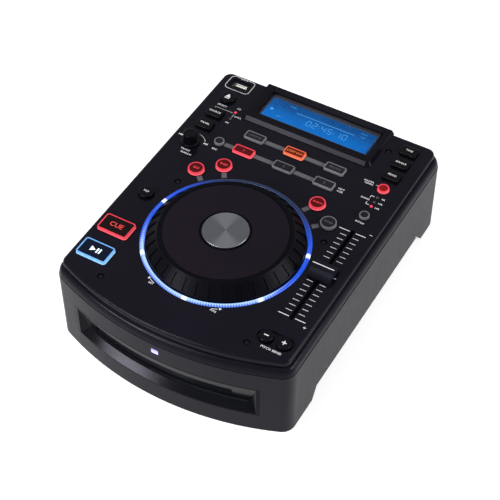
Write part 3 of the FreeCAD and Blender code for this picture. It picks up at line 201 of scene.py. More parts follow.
def spunMetal(name, look):
    # Spun cap: fine rings tip the surface in and out, which fans the highlight into a bow tie; the bow tie
    # is also painted into the colour as a lighter fan at a set angle, a painted highlight
    finish = Finish(name, {"Metallic": 1.0})
    x, y = finish.axes()[:2]
    dy = y - jogY * mm
    radius = (x * x + dy * dy) ** 0.5 + 0.00001  # never zero, so that the centre has a direction too
    marks = addNode(finish.tree, "ShaderNodeTexNoise", {"noise_dimensions": "1D"},
                    {"W": radius, "Scale": look["marks"], "Detail": 3.0})
    groove = Wire(finish.tree, marks.outputs[0]) - 0.5
    tilt = groove * look["tilt"]
    sockets = {0: x / radius * tilt, 1: dy / radius * tilt}
    tip = Wire(finish.tree, addNode(finish.tree, "ShaderNodeCombineXYZ", None, sockets).outputs[0])
    normal = Wire(finish.tree, addNode(finish.tree, "ShaderNodeNewGeometry").outputs["Normal"])
    finish.feed("Normal", finish.vector("NORMALIZE", finish.vector("ADD", normal, tip)))
    angle = dy.maths("ARCTAN2", dy, x)
    # painted highlight: the colour turns lighter in two opposite wedges across the cap, at a set angle
    paintedBowTie = ((angle - math.radians(look["paintedBowTieAngle"])) * 2.0).cosine().smooth(-0.2, 1.0)
    grooveToneAndPaintedHighlight = (paintedBowTie * 0.7 + groove + 0.15).smooth(0.0, 1.0)
    finish.feed("Base Color", finish.mixed(grooveToneAndPaintedHighlight, look["dark"], look["light"]))
    finish.feed("Roughness", groove * 0.15 + look["rough"])
    return finish.material


def rubberSkin(name, look):
    finish = Finish(name, {"Specular IOR Level": 0.3})
    grain = finish.noise(1500.0, 3.0)
    finish.feed("Base Color", finish.mixed(grain, look["dark"], look["light"]))
    finish.feed("Roughness", grain * 0.1 + 0.7)
    finish.bump(grain, 0.00006)
    return finish.material


def ringLight(name, look):
    # Pale blue and ribbed at the front, strong blue at the sides, dim with pale edges at the back
    finish = Finish(name, {"Roughness": 0.2, "Emission Strength": look["power"], "Specular IOR Level": 0.2,
                           "Base Color": look["clear"]})
    x, y = finish.axes()[:2]
    dy = y - jogY * mm
    radius = (x * x + dy * dy) ** 0.5
    angle = dy.maths("ARCTAN2", dy, x)
    ribs = (angle * look["ribs"]).sine() * 0.5 + 0.5
    front, lit, ahead = (dy.smooth(start * mm, end * mm, 1.0, 0.0) for start, end in look["fades"])
    edge = (radius - look["midRadius"] * mm).size().smooth(*(e * mm for e in look["edge"]))
    outward = radius.smooth(*((look["midRadius"] + step) * mm for step in look["outward"]))
    beam = ((angle - math.radians(look["firstLamp"])) * look["lamps"]).cosine()
    pool = beam.smooth(-0.6, 1.0)
    spot = beam.smooth(0.93, 1.0) ** 2.0
    paleness = (front * 0.62 + pool * 0.22 + ribs * front * 0.5 - outward * 0.42 - 0.08).smooth(0.0, 0.9)
    bright = finish.mixed(paleness, look["blue"], look["pale"])
    bright = finish.mixed(edge * 0.55, bright, look["fringe"])
    dim = finish.mixed(edge, look["deep"], look["outline"])
    glow = finish.mixed(lit, dim, bright)
    finish.feed("Emission Color", finish.mixed(spot * ahead, glow, look["spot"]))
    finish.bump(ribs, 0.0001, 0.6)
    return finish.material


def windowGlass(name, look):
    # Thin clear plate with a faint haze
    finish = Finish(name, {"Alpha": look["solid"], "Base Color": look["tint"], "Specular IOR Level": 0.1})
    finish.feed("Roughness", finish.noise(25.0) * 0.05 + 0.04)
    return finish.material


def displayGlow(name, look):
    # Backlight: stronger low on the glass, and cloudy
    finish = Finish(name, {"Roughness": 0.4, "Emission Strength": 1.0, "Specular IOR Level": 0.1})
    down = finish.axes()[1].smooth(look["near"] * mm, look["far"] * mm, 1.0, 0.0)
    level = (down * 0.6 + finish.noise(45.0, 2.0) * 0.4).smooth(0.1, 0.9)
    finish.feed("Emission Color", finish.mixed(level, look["dim"], look["bright"]))
    finish.feed("Base Color", finish.mixed(level, look["body"], look["dim"]))
    return finish.material


def printedInk(name, look):
    finish = Finish(name, {"Roughness": 0.45, "Specular IOR Level": 0.2,
                           "Emission Strength": look.get("power", 0.0)})
    wear = finish.noise(700.0, 3.0)
    finish.feed("Base Color", finish.mixed(wear, look["dark"], look["light"]))
    finish.feed("Emission Color", finish.mixed(wear, look.get("glow", look["dark"]), look["light"]))
    return finish.material


plastics = {
    "caseCharcoal": {"dark": (0.0048, 0.0044, 0.0078), "light": (0.0066, 0.006, 0.0098), "grain": 2600.0,
                     "depth": 0.00005, "rough": 0.34, "sheen": 0.08},
    "deckBlack": {"dark": (0.0032, 0.0028, 0.0058), "light": (0.0044, 0.0038, 0.0075), "grain": 900.0,
                  "depth": 0.000006, "rough": 0.2, "sheen": 0.07},
    "bezelBlack": {"dark": (0.002, 0.0023, 0.0036), "light": (0.0032, 0.0036, 0.005), "grain": 900.0,
                   "depth": 0.000006, "rough": 0.14, "sheen": 0.05},
    "hoodBlack": {"dark": (0.0030, 0.0028, 0.0048), "light": (0.0042, 0.004, 0.0064), "grain": 1200.0,
                  "depth": 0.000012, "rough": 0.18, "sheen": 0.05},
    "platterBlack": {"dark": (0.0012, 0.0013, 0.0024), "light": (0.0018, 0.002, 0.0034), "grain": 1500.0,
                     "depth": 0.00002, "rough": 0.3, "sheen": 0.035},
    "discBlack": {"dark": (0.0052, 0.0034, 0.0068), "light": (0.0068, 0.0044, 0.0086), "grain": 1500.0,
                  "depth": 0.00002, "rough": 0.45, "sheen": 0.06},
    "keyBlack": {"dark": (0.0018, 0.0018, 0.0026), "light": (0.003, 0.003, 0.004), "grain": 1800.0,
                 "depth": 0.00001, "rough": 0.22, "sheen": 0.06},
    "faderBlack": {"dark": (0.004, 0.004, 0.008), "light": (0.006, 0.006, 0.011), "grain": 2400.0,
                   "depth": 0.00003, "rough": 0.4, "sheen": 0.05},
    "faceBlack": {"dark": (0.006, 0.006, 0.007), "light": (0.009, 0.009, 0.011), "grain": 1800.0,
                  "depth": 0.00001, "rough": 0.3, "sheen": 0.1},
    "socketBlack": {"dark": (0.008, 0.008, 0.008), "light": (0.013, 0.013, 0.013), "grain": 2200.0,
                    "depth": 0.00003, "rough": 0.5, "sheen": 0.3},
    "rimGrey": {"dark": (0.10, 0.10, 0.115), "light": (0.13, 0.13, 0.145), "grain": 1600.0,
                "depth": 0.00001, "rough": 0.3, "sheen": 0.3},
    "lampFrost": {"dark": (0.045, 0.03, 0.03), "light": (0.06, 0.04, 0.04), "grain": 1500.0,
                  "depth": 0.00001, "rough": 0.25, "sheen": 0.3},
    "blackSteel": {"dark": (0.012, 0.012, 0.013), "light": (0.02, 0.02, 0.021), "grain": 1400.0,
                   "depth": 0.00008, "rough": 0.5, "sheen": 0.4},
    "displayGrey": {"dark": (0.050, 0.050, 0.064), "light": (0.064, 0.064, 0.080), "grain": 800.0,
                    "depth": 0.000005, "rough": 0.35, "sheen": 0.15},
}

litLooks = {
    "rimRed": {"low": 86.3, "high": 88.9, "core": (0.95, 0.12, 0.16), "edge": (0.50, 0.035, 0.055),
               "body": (0.12, 0.01, 0.01)},
    "rimAmber": {"low": 86.3, "high": 88.4, "core": (0.85, 0.22, 0.12), "edge": (0.50, 0.085, 0.04),
                 "body": (0.12, 0.03, 0.01)},
    "rimBlue": {"low": 86.3, "high": 88.8, "core": (0.32, 0.62, 0.95), "edge": (0.12, 0.30, 0.62),
                "body": (0.02, 0.05, 0.1)},
    "faceRed": {"low": 80.0, "high": 95.0, "core": (0.10, 0.002, 0.004), "edge": (0.035, 0.001, 0.0015),
                "body": (0.01, 0.001, 0.001), "streak": 160.0},
    "faceHot": {"low": 80.0, "high": 95.0, "core": (0.22, 0.003, 0.007), "edge": (0.13, 0.0015, 0.0035),
                "body": (0.03, 0.002, 0.002), "streak": 160.0},
    "faceAmber": {"low": 80.0, "high": 95.0, "core": (0.12, 0.010, 0.002), "edge": (0.05, 0.004, 0.001),
                  "body": (0.02, 0.003, 0.001), "streak": 160.0},
    "faceCue": {"low": 80.0, "high": 95.0, "core": (0.006, 0.001, 0.001), "edge": (0.002, 0.0006, 0.0008),
                "body": (0.004, 0.002, 0.003), "streak": 120.0},
    "faceNavy": {"low": 80.0, "high": 95.0, "core": (0.0005, 0.004, 0.018), "edge": (0.0003, 0.002, 0.008),
                 "body": (0.002, 0.003, 0.006), "streak": 120.0},
    "lampRed": {"low": 84.0, "high": 87.0, "core": (1.0, 0.16, 0.24), "edge": (0.75, 0.04, 0.08),
                "body": (0.3, 0.02, 0.02), "power": 1.1},
    "lampViolet": {"low": 59.0, "high": 67.0, "core": (0.80, 0.78, 1.2), "edge": (0.20, 0.16, 0.7),
                   "body": (0.2, 0.18, 0.4)},
}

metalLooks = {
    "steel": {"scale": 60.0, "stretch": (1.0, 14.0, 14.0), "dark": (0.42, 0.42, 0.43),
              "light": (0.55, 0.55, 0.56), "rough": 0.3},
    "platedMetal": {"scale": 90.0, "stretch": (1.0, 1.0, 6.0), "dark": (0.50, 0.49, 0.47),
                    "light": (0.62, 0.61, 0.59), "rough": 0.2},
}

inkLooks = {
    "displayInk": {"dark": (0.03, 0.20, 0.46), "light": (0.06, 0.27, 0.56), "glow": (0.05, 0.25, 0.58),
                   "power": 0.8},
    "inkWhite": {"dark": (0.66, 0.66, 0.68), "light": (0.80, 0.80, 0.82)},
    "inkGrey": {"dark": (0.075, 0.075, 0.085), "light": (0.10, 0.10, 0.11)},
    "inkSilver": {"dark": (0.42, 0.42, 0.44), "light": (0.52, 0.52, 0.54)},
    # near-black used for the painted shade in the screws' cross recesses
    "darkInkAndRecessShade": {"dark": (0.004, 0.002, 0.002), "light": (0.008, 0.004, 0.004)},
    "inkRed": {"dark": (0.5, 0.03, 0.03), "light": (0.7, 0.06, 0.06), "power": 0.9},
    "inkAmber": {"dark": (0.6, 0.12, 0.03), "light": (0.75, 0.17, 0.05), "power": 0.9},
    "inkIce": {"dark": (0.7, 0.85, 0.95), "light": (0.85, 0.95, 1.0), "glow": (0.75, 0.85, 0.95),
               "power": 0.6},
}

mats = {name: mouldedPlastic(name, look) for name, look in plastics.items()}
mats.update({name: litPlastic(name, look) for name, look in litLooks.items()})
mats.update({name: sheetMetal(name, look) for name, look in metalLooks.items()})
mats.update({name: printedInk(name, look) for name, look in inkLooks.items()})
mats["boardGreen"] = paintedBoard("boardGreen", {"lacquer": (0.006, 0.05, 0.018),
                                                 "track": (0.012, 0.09, 0.03)})
# the cap's bow-tie highlight is partly painted into its colour, turned to a set angle
mats["spunCap"] = spunMetal("spunCap", {"marks": 9000.0, "tilt": 0.5, "rough": 0.32, "paintedBowTieAngle": 120.0,
                                        "dark": (0.088, 0.092, 0.104), "light": (0.155, 0.162, 0.178)})
mats["softRubber"] = rubberSkin("softRubber", {"dark": (0.008, 0.008, 0.008),
                                               "light": (0.016, 0.016, 0.016)})
mats["ringLight"] = ringLight("ringLight", {
    "fades": ((-58.0, 12.0), (22.0, 62.0), (16.0, 30.0)), "edge": (1.0, 1.6), "midRadius": 68.35,
    "outward": (-0.6, 1.4), "ribs": 200.0, "lamps": 7, "firstLamp": -36.3, "power": 1.15,
    "clear": (0.01, 0.02, 0.05), "pale": (0.46, 0.68, 1.0), "blue": (0.004, 0.060, 0.62),
    "fringe": (0.01, 0.10, 0.85), "deep": (0.001, 0.004, 0.022), "outline": (0.030, 0.07, 0.20),
    "spot": (0.95, 1.1, 1.4),
})
mats["windowClear"] = windowGlass("windowClear", {"solid": 0.05, "tint": (0.02, 0.025, 0.03)})
mats["displayBlue"] = displayGlow("displayBlue", {
    "near": 110.0, "far": 136.0, "dim": (0.0, 0.062, 0.245), "bright": (0.0, 0.118, 0.42),
    "body": (0.0, 0.01, 0.03),
})
print("materials made:", len(mats))


nodeFinish = {
    "base_case": "caseCharcoal", "top_cover": "deckBlack", "bottom_plate": "blackSteel",
    "rear_panel": "blackSteel", "slot_bezel": "bezelBlack", "display_hood": "hoodBlack",
    "display_window": "windowClear", "lcd_module": "displayGrey", "rubber_feet": "softRubber",
    "indicator_lights": "lampFrost", "light_ring": "ringLight", "ring_light_board": "boardGreen",
    "jog_platter": "platterBlack", "touch_disc": "discBlack", "jog_cap": "spunCap",
    "jog_shaft": "steel", "jog_bracket": "socketBlack", "encoder_disc": "blackSteel",
    "track_knob": "keyBlack", "track_shaft": "steel", "track_encoder": "socketBlack",
    "fader_cap": "faderBlack", "fader_body": "blackSteel", "usb_socket": "platedMetal",
    "control_board": "boardGreen", "key_switches": "socketBlack", "main_board": "boardGreen",
    "power_board": "boardGreen", "phono_jacks": "platedMetal", "usb_b_socket": "platedMetal",
    "mains_inlet": "socketBlack", "power_rocker": "keyBlack", "drive_chassis": "steel",
    "feed_roller": "softRubber", "disc_spindle": "socketBlack", "laser_sled": "socketBlack",
    "tap_button": "keyBlack", "eject_button": "keyBlack", "source_button": "keyBlack",
    "panel_button": "keyBlack", "time_button": "keyBlack", "single_button": "keyBlack",
    "program_button": "keyBlack", "bend_minus_button": "keyBlack", "bend_plus_button": "keyBlack",
    "cue_button": "rimRed", "play_button": "rimBlue", "record_button": "rimGrey",
    "hot_cue_button_1": "rimRed", "hot_cue_button_2": "rimGrey", "hot_cue_button_3": "rimGrey",
    "loop_in_button": "rimGrey", "loop_out_button": "rimAmber", "reloop_button": "rimGrey",
    "left_outer_button": "rimRed", "left_inner_button": "rimRed", "right_inner_button": "rimRed",
    "right_outer_button": "rimGrey", "tempo_lock_button": "rimRed", "pitch_range_button": "rimGrey",
}
for nodeName, node in cadNodes.items():
    for slot in node.material_slots:
        slot.material = mats[nodeFinish[nodeName]]
print("CAD nodes finished:", len(cadNodes))


def newPiece(name, shape, finish, body):
    # Turns a bmesh in millimetres into a piece that rides on a body
    bmesh.ops.remove_doubles(shape, verts=shape.verts, dist=0.0005)
    bmesh.ops.recalc_face_normals(shape, faces=shape.faces)
    bmesh.ops.scale(shape, vec=(mm, mm, mm), verts=shape.verts)
    mesh = bpy.data.meshes.new(name)
    shape.to_mesh(mesh)
    shape.free()
    mesh.materials.append(mats[finish])
    piece = bpy.data.objects.new(name, mesh)
    bpy.context.scene.collection.objects.link(piece)
    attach(piece, body)


def thicken(shape, faces, depth):
    grown = bmesh.ops.extrude_face_region(shape, geom=faces)
    lifted = [v for v in grown["geom"] if isinstance(v, bmesh.types.BMVert)]
    bmesh.ops.translate(shape, vec=(0, 0, depth), verts=lifted)


def strip(shape, start, end, width, z):
    # A straight bar between two points
    a, b = Vector(start), Vector(end)
    side = (b - a).normalized().orthogonal() * width / 2
    corners = [shape.verts.new((p.x, p.y, z)) for p in (a - side, b - side, b + side, a + side)]
    thicken(shape, [shape.faces.new(corners)], printDepth)


def arcStrip(shape, centre, radius, first, last, width, z, steps=24):
    # A bar bent round a centre, from one angle in degrees to another
    a = math.radians(first)
    ends = [shape.verts.new((centre[0] + r * math.cos(a), centre[1] + r * math.sin(a), z))
            for r in (radius - width / 2, radius + width / 2)]
    others = set(shape.faces)
    bmesh.ops.spin(shape, geom=[shape.edges.new(ends)], cent=(*centre, z), axis=(0, 0, 1),
                   angle=math.radians(last - first), steps=steps)
    thicken(shape, [face for face in shape.faces if face not in others], printDepth)


def roundedFace(shape, x, y, width, height, corner, z):
    # A flat rectangle with rounded corners; gives back its one face
    box = Matrix.Translation((x, y, z)) @ Matrix.Diagonal((width, height, 1, 1))
    made = bmesh.ops.create_grid(shape, x_segments=1, y_segments=1, size=0.5, matrix=box)
    rounded = bmesh.ops.bevel(shape, geom=made["verts"], offset=corner, offset_type="OFFSET",
                              segments=6, profile=0.5, affect="VERTICES", material=-1)
    return rounded["verts"][0].link_faces[0]


def roundedPlate(shape, x, y, width, height, corner, z, depth=printDepth):
    thicken(shape, [roundedFace(shape, x, y, width, height, corner, z)], depth)


def roundedBand(shape, x, y, width, height, corner, line, z):
    # The outline of a rounded rectangle
    face = roundedFace(shape, x, y, width, height, corner, z)
    band = bmesh.ops.inset_region(shape, faces=[face], thickness=line, use_boundary=True,
                                  use_even_offset=True)["faces"]
    bmesh.ops.delete(shape, geom=[face], context="FACES_ONLY")
    thicken(shape, band, printDepth)


def arrowHead(shape, x, y, size, turn, z):
    # A filled triangle that points along its turn
    place = Matrix.Translation((x, y, z)) @ Matrix.Rotation(math.radians(turn - 90), 4, "Z")
    made = bmesh.ops.create_circle(shape, cap_ends=True, segments=3, radius=size * 0.62, matrix=place)
    thicken(shape, [made["verts"][0].link_faces[0]], printDepth)


def lettering(shape, text, height, place, bold=0.035, spread=1.12):
    # Plain block lettering, centred on the origin of its place
    curve = bpy.data.curves.new("lettering", "FONT")
    curve.body = text
    curve.align_x = "CENTER"
    curve.align_y = "CENTER"
    curve.size = height * bodyHeight
    curve.offset = bold
    curve.space_character = spread
    curve.extrude = printDepth / 2
    curve.resolution_u = 3
    maker = bpy.data.objects.new("lettering", curve)
    bpy.context.scene.collection.objects.link(maker)
    bpy.context.view_layer.update()
    mesh = bpy.data.meshes.new_from_object(maker.evaluated_get(bpy.context.evaluated_depsgraph_get()))
    mesh.transform(place @ Matrix.Translation((0, 0, printDepth / 2)))
    shape.from_mesh(mesh)
    bpy.data.objects.remove(maker)
    bpy.data.curves.remove(curve)
    bpy.data.meshes.remove(mesh)


def flatPlace(x, y, z):
    # Level, read from above
    return Matrix.Translation((x, y, z))


def rearPlace(x, y, z):
    # Upright on the rear face, read from behind
    upright = Matrix.Rotation(math.radians(180), 4, "Z") @ Matrix.Rotation(math.radians(90), 4, "X")
    return Matrix.Translation((x, y, z)) @ upright


# Printed marks on the deck: fader scale, knob marks, labels, bands that join the lit keys
# The seek arrows stand beside the knob, and the way arrows in front of the wheel
deckPrint = {
    "columnX": 85.0, "tickTop": 21.7, "tickPitch": 5.706, "ticks": 19, "tickWidth": 0.66,
    "short": ((76.4, 82.0), (88.0, 93.4)), "long": ((73.0, 82.3), (88.0, 96.8)), "line": 0.5,
    "knobY": 46.0, "knobArc": 12.8, "knobTurn": (34.0, 82.0),
    "seekX": 12.0, "seekRise": 4.9, "seekSize": 2.0, "seekSteps": (-0.9, 0.8), "seekBar": 2.2,
    "seekBarHalf": 1.1,
    "socketY": 131.5, "socketFrame": (24.5, 17.6, 4.0),
    "wayX": 32.6, "wayY": -101.7, "waySize": 2.4, "wayTurns": (128.0, 30.0), "wayArc": 72.2,
    "waySpan": (21.5, 25.4), "waySteps": 4,
    "band": 4.4, "bandRows": (58.8, 78.6), "bandSpans": ((-28.9, -10.1), (10.1, 28.9)),
    "recordBand": ((-58.0, 58.8), (-49.1, 58.8)), "bandAngles": (42.3, 58.3, 121.7, 137.7),
    "bandReach": (71.6, 77.6),
    "labels": (
        ("TRACK", -84.4, 36.6, 1.9), ("SEARCH", -81.6, 32.8, 1.9), ("REC", -62.9, 49.4, 1.9),
        ("SELECT", -85.2, 100.5, 1.9), ("CD", -69.6, 103.4, 1.8), ("DATA", -65.2, 93.2, 1.7),
        ("PC", -70.2, 83.2, 1.8), ("DATA", -84.6, 139.3, 1.7), ("MASTER", 70.4, 80.8, 1.7),
        ("TEMPO", 71.2, 78.2, 1.7), ("6%", 90.4, 67.1, 1.7), ("12%", 90.2, 61.3, 1.7),
        ("24%", 90.2, 55.4, 1.7), ("RANGE", 76.3, 61.6, 1.6), ("PITCH", 84.8, 34.6, 1.9),
        ("HOT", 54.4, 60.7, 1.9), ("CUE", 54.4, 57.6, 1.9), ("PITCH BEND", 86.6, -117.1, 2.1),
        ("REV", -28.6, -105.9, 1.7), ("FWD", 28.8, -106.0, 1.7),
    ),
    "whiteLines": (
        ((98.4, 26.0), (100.9, 26.0)), ((97.3, -85.4), (99.8, -85.4)), ((98.55, -86.65), (98.55, -84.15)),
        ((79.4, 66.8), (82.4, 66.8)), ((79.4, 66.8), (79.4, 64.3)), ((79.4, 56.3), (82.4, 56.3)),
        ((79.4, 58.8), (79.4, 56.3)), ((77.4, 79.5), (79.4, 79.5)),
    ),
    "silverLines": (
        ((-89.5, 96.5), (-72.2, 96.5)), ((-89.5, 96.7), (-89.5, 95.0)), ((-70.2, 95.6), (-70.2, 91.2)),
    ),
}


def buildDeckPrint(look):
    z = deckTop + printGap
    white = bmesh.new()
    silver = bmesh.new()
    grey = bmesh.new()
    lastTick = look["ticks"] - 1
    for i in range(look["ticks"]):
        y = look["tickTop"] - i * look["tickPitch"]
        isLong = i in (0, lastTick // 2, lastTick)
        for start, end in look["long" if isLong else "short"]:
            strip(white if isLong else silver, (start, y), (end, y), look["tickWidth"], z)
    for start, end in look["whiteLines"]:
        strip(white, start, end, look["line"], z)
    for start, end in look["silverLines"]:
        strip(silver, start, end, look["line"], z)
    for text, x, y, height in look["labels"]:
        lettering(white, text, height, flatPlace(x, y, z))
    knobX, knobY = -look["columnX"], look["knobY"]
    arcStrip(white, (knobX, knobY), look["knobArc"], *look["knobTurn"], look["line"], z)
    for side, turn in ((-1, 180.0), (1, 0.0)):
        x, y = knobX + side * look["seekX"], knobY + look["seekRise"]
        for step in look["seekSteps"]:
            arrowHead(white, x + side * step, y, look["seekSize"], turn, z)
        barX, half = x + side * look["seekBar"], look["seekBarHalf"]
        strip(white, (barX, y - half), (barX, y + half), look["line"], z)
    roundedBand(white, knobX, look["socketY"], *look["socketFrame"], look["line"], z)
    for side, turn in zip((-1, 1), look["wayTurns"]):
        arrowHead(white, side * look["wayX"], look["wayY"], look["waySize"], turn, z)
        start, end = (270 + side * angle for angle in look["waySpan"])
        arcStrip(white, (0, jogY), look["wayArc"], start, end, look["line"], z, look["waySteps"])
    for y in look["bandRows"]:
        for start, end in look["bandSpans"]:
            strip(grey, (start, y), (end, y), look["band"], z)
    strip(grey, *look["recordBand"], look["band"], z)
    for angle in look["bandAngles"]:
        ray = Vector((math.cos(math.radians(angle)), math.sin(math.radians(angle))))
        start, end = (Vector((0, jogY)) + ray * reach for reach in look["bandReach"])
        strip(grey, start, end, look["band"], z)
    newPiece("deckPrintWhite", white, "inkWhite", "case")
    newPiece("deckPrintSilver", silver, "inkSilver", "case")
    newPiece("deckPrintGrey", grey, "inkGrey", "case")


buildDeckPrint(deckPrint)
print("deck print made")


# Legends printed on the plain black keys
plainKeys = {
    "words": {"time_button": "TIME", "single_button": "SINGLE", "program_button": "PROG",
              "source_button": "SOURCE", "panel_button": "PANEL", "tap_button": "TAP"},
    "height": 2.0, "arrow": 4.6, "arrowRise": 0.4, "bar": 0.9, "barHalf": 2.4, "barDrop": 2.3,
    "bendLine": 0.85, "bendHalf": 2.0,
}


def keyTop(nodeName):
    low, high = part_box(nodeName)
    return (low.x + high.x) / 2 / mm, (low.y + high.y) / 2 / mm, high.z / mm


def buildPlainKeys(look):
    for nodeName, text in look["words"].items():
        x, y, top = keyTop(nodeName)
        shape = bmesh.new()
        lettering(shape, text, look["height"], flatPlace(x, y, top + printGap))
        newPiece(nodeName + "_legend", shape, "inkWhite", nodeName)
    x, y, top = keyTop("eject_button")
    shape = bmesh.new()
    arrowHead(shape, x, y + look["arrowRise"], look["arrow"], 90.0, top + printGap)
    half, barY = look["barHalf"], y - look["barDrop"]
    strip(shape, (x - half, barY), (x + half, barY), look["bar"], top + printGap)
    newPiece("eject_button_legend", shape, "inkWhite", "eject_button")
    for nodeName in ("bend_minus_button", "bend_plus_button"):
        x, y, top = keyTop(nodeName)
        z, half = top + printGap, look["bendHalf"]
        shape = bmesh.new()
        strip(shape, (x - half, y), (x + half, y), look["bendLine"], z)
        if nodeName == "bend_plus_button":
            for side in (-1, 1):
                inner = (x, y + side * look["bendLine"] / 2)
                strip(shape, (x, y + side * half), inner, look["bendLine"], z)
        newPiece(nodeName + "_legend", shape, "inkWhite", nodeName)


buildPlainKeys(plainKeys)


# Thin caps that colour the sunken faces of the lit keys, and their legends
# Each has its finish, words, height, ink, and the key's corner where it isn't round
litKeys = {
    "flange": 1.1, "rim": 1.25, "dip": 0.3, "gap": 0.02, "depth": 0.12, "legendGap": 0.01,
    "arrowShift": 3.0, "pauseBars": (1.8, 4.2), "pauseWidth": 1.3,
    "faces": {
        "cue_button": ("faceCue", "CUE", 4.8, "inkRed", 2.4),
        "play_button": ("faceNavy", "play", 5.0, "inkIce", 2.4),
        "record_button": ("faceBlack", "", 0, "inkGrey", None),
        "hot_cue_button_1": ("faceRed", "1", 2.6, "inkRed", 1.8),
        "hot_cue_button_2": ("faceBlack", "2", 2.6, "inkGrey", 1.8),
        "hot_cue_button_3": ("faceBlack", "3", 2.6, "inkGrey", 1.8),
        "loop_in_button": ("faceBlack", "LOOP IN", 2.2, "inkGrey", 1.8),
        "loop_out_button": ("faceAmber", "LOOP OUT", 2.1, "inkAmber", 1.8),
        "reloop_button": ("faceBlack", "RELOOP", 2.2, "inkGrey", 1.8),
        "left_outer_button": ("faceRed", "SKIP", 2.2, "inkRed", None),
        "left_inner_button": ("faceRed", "BLEEP", 2.0, "inkRed", None),
        "right_inner_button": ("faceRed", "SEARCH", 1.7, "inkRed", None),
        "right_outer_button": ("faceBlack", "MODE", 2.0, "inkGrey", None),
        "tempo_lock_button": ("faceHot", "", 0, "darkInkAndRecessShade", None),
        "pitch_range_button": ("faceBlack", "", 0, "inkGrey", None),
    },
}


def buildLitKeys(look):
    for nodeName, (finish, text, height, ink, corner) in look["faces"].items():
        low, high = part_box(nodeName)
        x, y, top = keyTop(nodeName)
        inset = look["flange"] + look["rim"]
        width = (high.x - low.x) / mm - 2 * inset
        depth = (high.y - low.y) / mm - 2 * inset
        z = top - look["dip"] + look["gap"]
        shape = bmesh.new()
        if corner is None:
            made = bmesh.ops.create_circle(shape, cap_ends=True, segments=48, radius=width / 2,
                                           matrix=flatPlace(x, y, z))
            thicken(shape, [made["verts"][0].link_faces[0]], look["depth"])
        else:
            roundedPlate(shape, x, y, width, depth, corner - look["rim"], z, look["depth"])
        newPiece(nodeName + "_face", shape, finish, nodeName)
        if not text:
            continue
        z += look["depth"] + look["legendGap"]
        shape = bmesh.new()
        if text == "play":
            arrowHead(shape, x - look["arrowShift"], y, height, 0.0, z)
            for dx in look["pauseBars"]:
                strip(shape, (x + dx, y - height / 2), (x + dx, y + height / 2), look["pauseWidth"], z)
        else:
            lettering(shape, text, height, flatPlace(x, y, z), 0.0, 1.0)
        newPiece(nodeName + "_legend", shape, ink, nodeName)


buildLitKeys(litKeys)
print("keys dressed")


# Lamps in the deck and in the front wall
lampLook = {
    "radius": 1.28, "topRadius": 0.9, "depth": 0.3, "rise": 0.16,
    "frontY": -147.44, "frontZ": 62.8, "frontPlate": (6.4, 4.8, 1.2),
    "lampsLit": ("lampRed", ((-70.2, 98.0), (85.0, 55.5))),
    "lampsUnlit": ("lampFrost", ((-70.2, 89.0), (85.0, 67.0), (85.0, 61.0))),
}


def buildLamps(look):
    for name in ("lampsLit", "lampsUnlit"):
        finish, places = look[name]
        shape = bmesh.new()
        for x, y in places:
            bmesh.ops.create_cone(shape, cap_ends=True, segments=24, radius1=look["radius"],
                                  radius2=look["topRadius"], depth=look["depth"],
                                  matrix=flatPlace(x, y, deckTop + look["rise"] + look["depth"] / 2))
        newPiece(name, shape, finish, "case")
    shape = bmesh.new()
    roundedPlate(shape, 0, 0, *look["frontPlate"], 0)
    upright = flatPlace(0, look["frontY"], look["frontZ"]) @ Matrix.Rotation(math.radians(90), 4, "X")
    bmesh.ops.transform(shape, matrix=upright, verts=shape.verts)
    newPiece("frontLamp", shape, "lampViolet", "case")


buildLamps(lampLook)


# Screws in the wells of the deck, each with a cross of painted shade standing for its recess, at a turn of
# its own
screws = {
    "wells": ((-67.0, -119.5), (67.0, -119.5), (-69.6, 0.5), (69.6, 0.5), (68.5, 121.0)),
    "radius": 2.3, "floor": 84.92, "depth": 0.75, "bevel": 0.25, "cross": 1.25,
    "crossWidth": 0.5, "crossGap": 0.01, "turnByX": 7, "turnByY": 3,
}


def buildScrews(look):
    heads = bmesh.new()
    crossRecessShade = bmesh.new()
    for x, y in look["wells"]:
        bmesh.ops.create_cone(heads, cap_ends=True, segments=32, radius1=look["radius"],
                              radius2=look["radius"], depth=look["depth"],
                              matrix=flatPlace(x, y, look["floor"] + look["depth"] / 2))
        z = look["floor"] + look["depth"] + look["crossGap"]
        turn = math.radians(x * look["turnByX"] + y * look["turnByY"])
        ray = Vector((math.cos(turn), math.sin(turn))) * look["cross"]
        side = ray.orthogonal()
        centre = Vector((x, y))
        # painted shade: dark strips on the head stand in for the shaded cross recess
        strip(crossRecessShade, centre - ray, centre + ray, look["crossWidth"], z)
        for sign in (-1, 1):
            near = side.normalized() * sign * look["crossWidth"] / 2
            strip(crossRecessShade, centre + near, centre + side * sign, look["crossWidth"], z)
    middle = look["floor"] + look["depth"] / 2
    rims = [e for e in heads.edges if all(v.co.z > middle for v in e.verts)]
    bmesh.ops.bevel(heads, geom=rims, offset=look["bevel"], offset_type="OFFSET", segments=2, profile=0.5,
                    affect="EDGES", material=-1)
    newPiece("deckScrews", heads, "keyBlack", "case")
    newPiece("deckScrewCrossRecessShade", crossRecessShade, "darkInkAndRecessShade", "case")


buildScrews(screws)


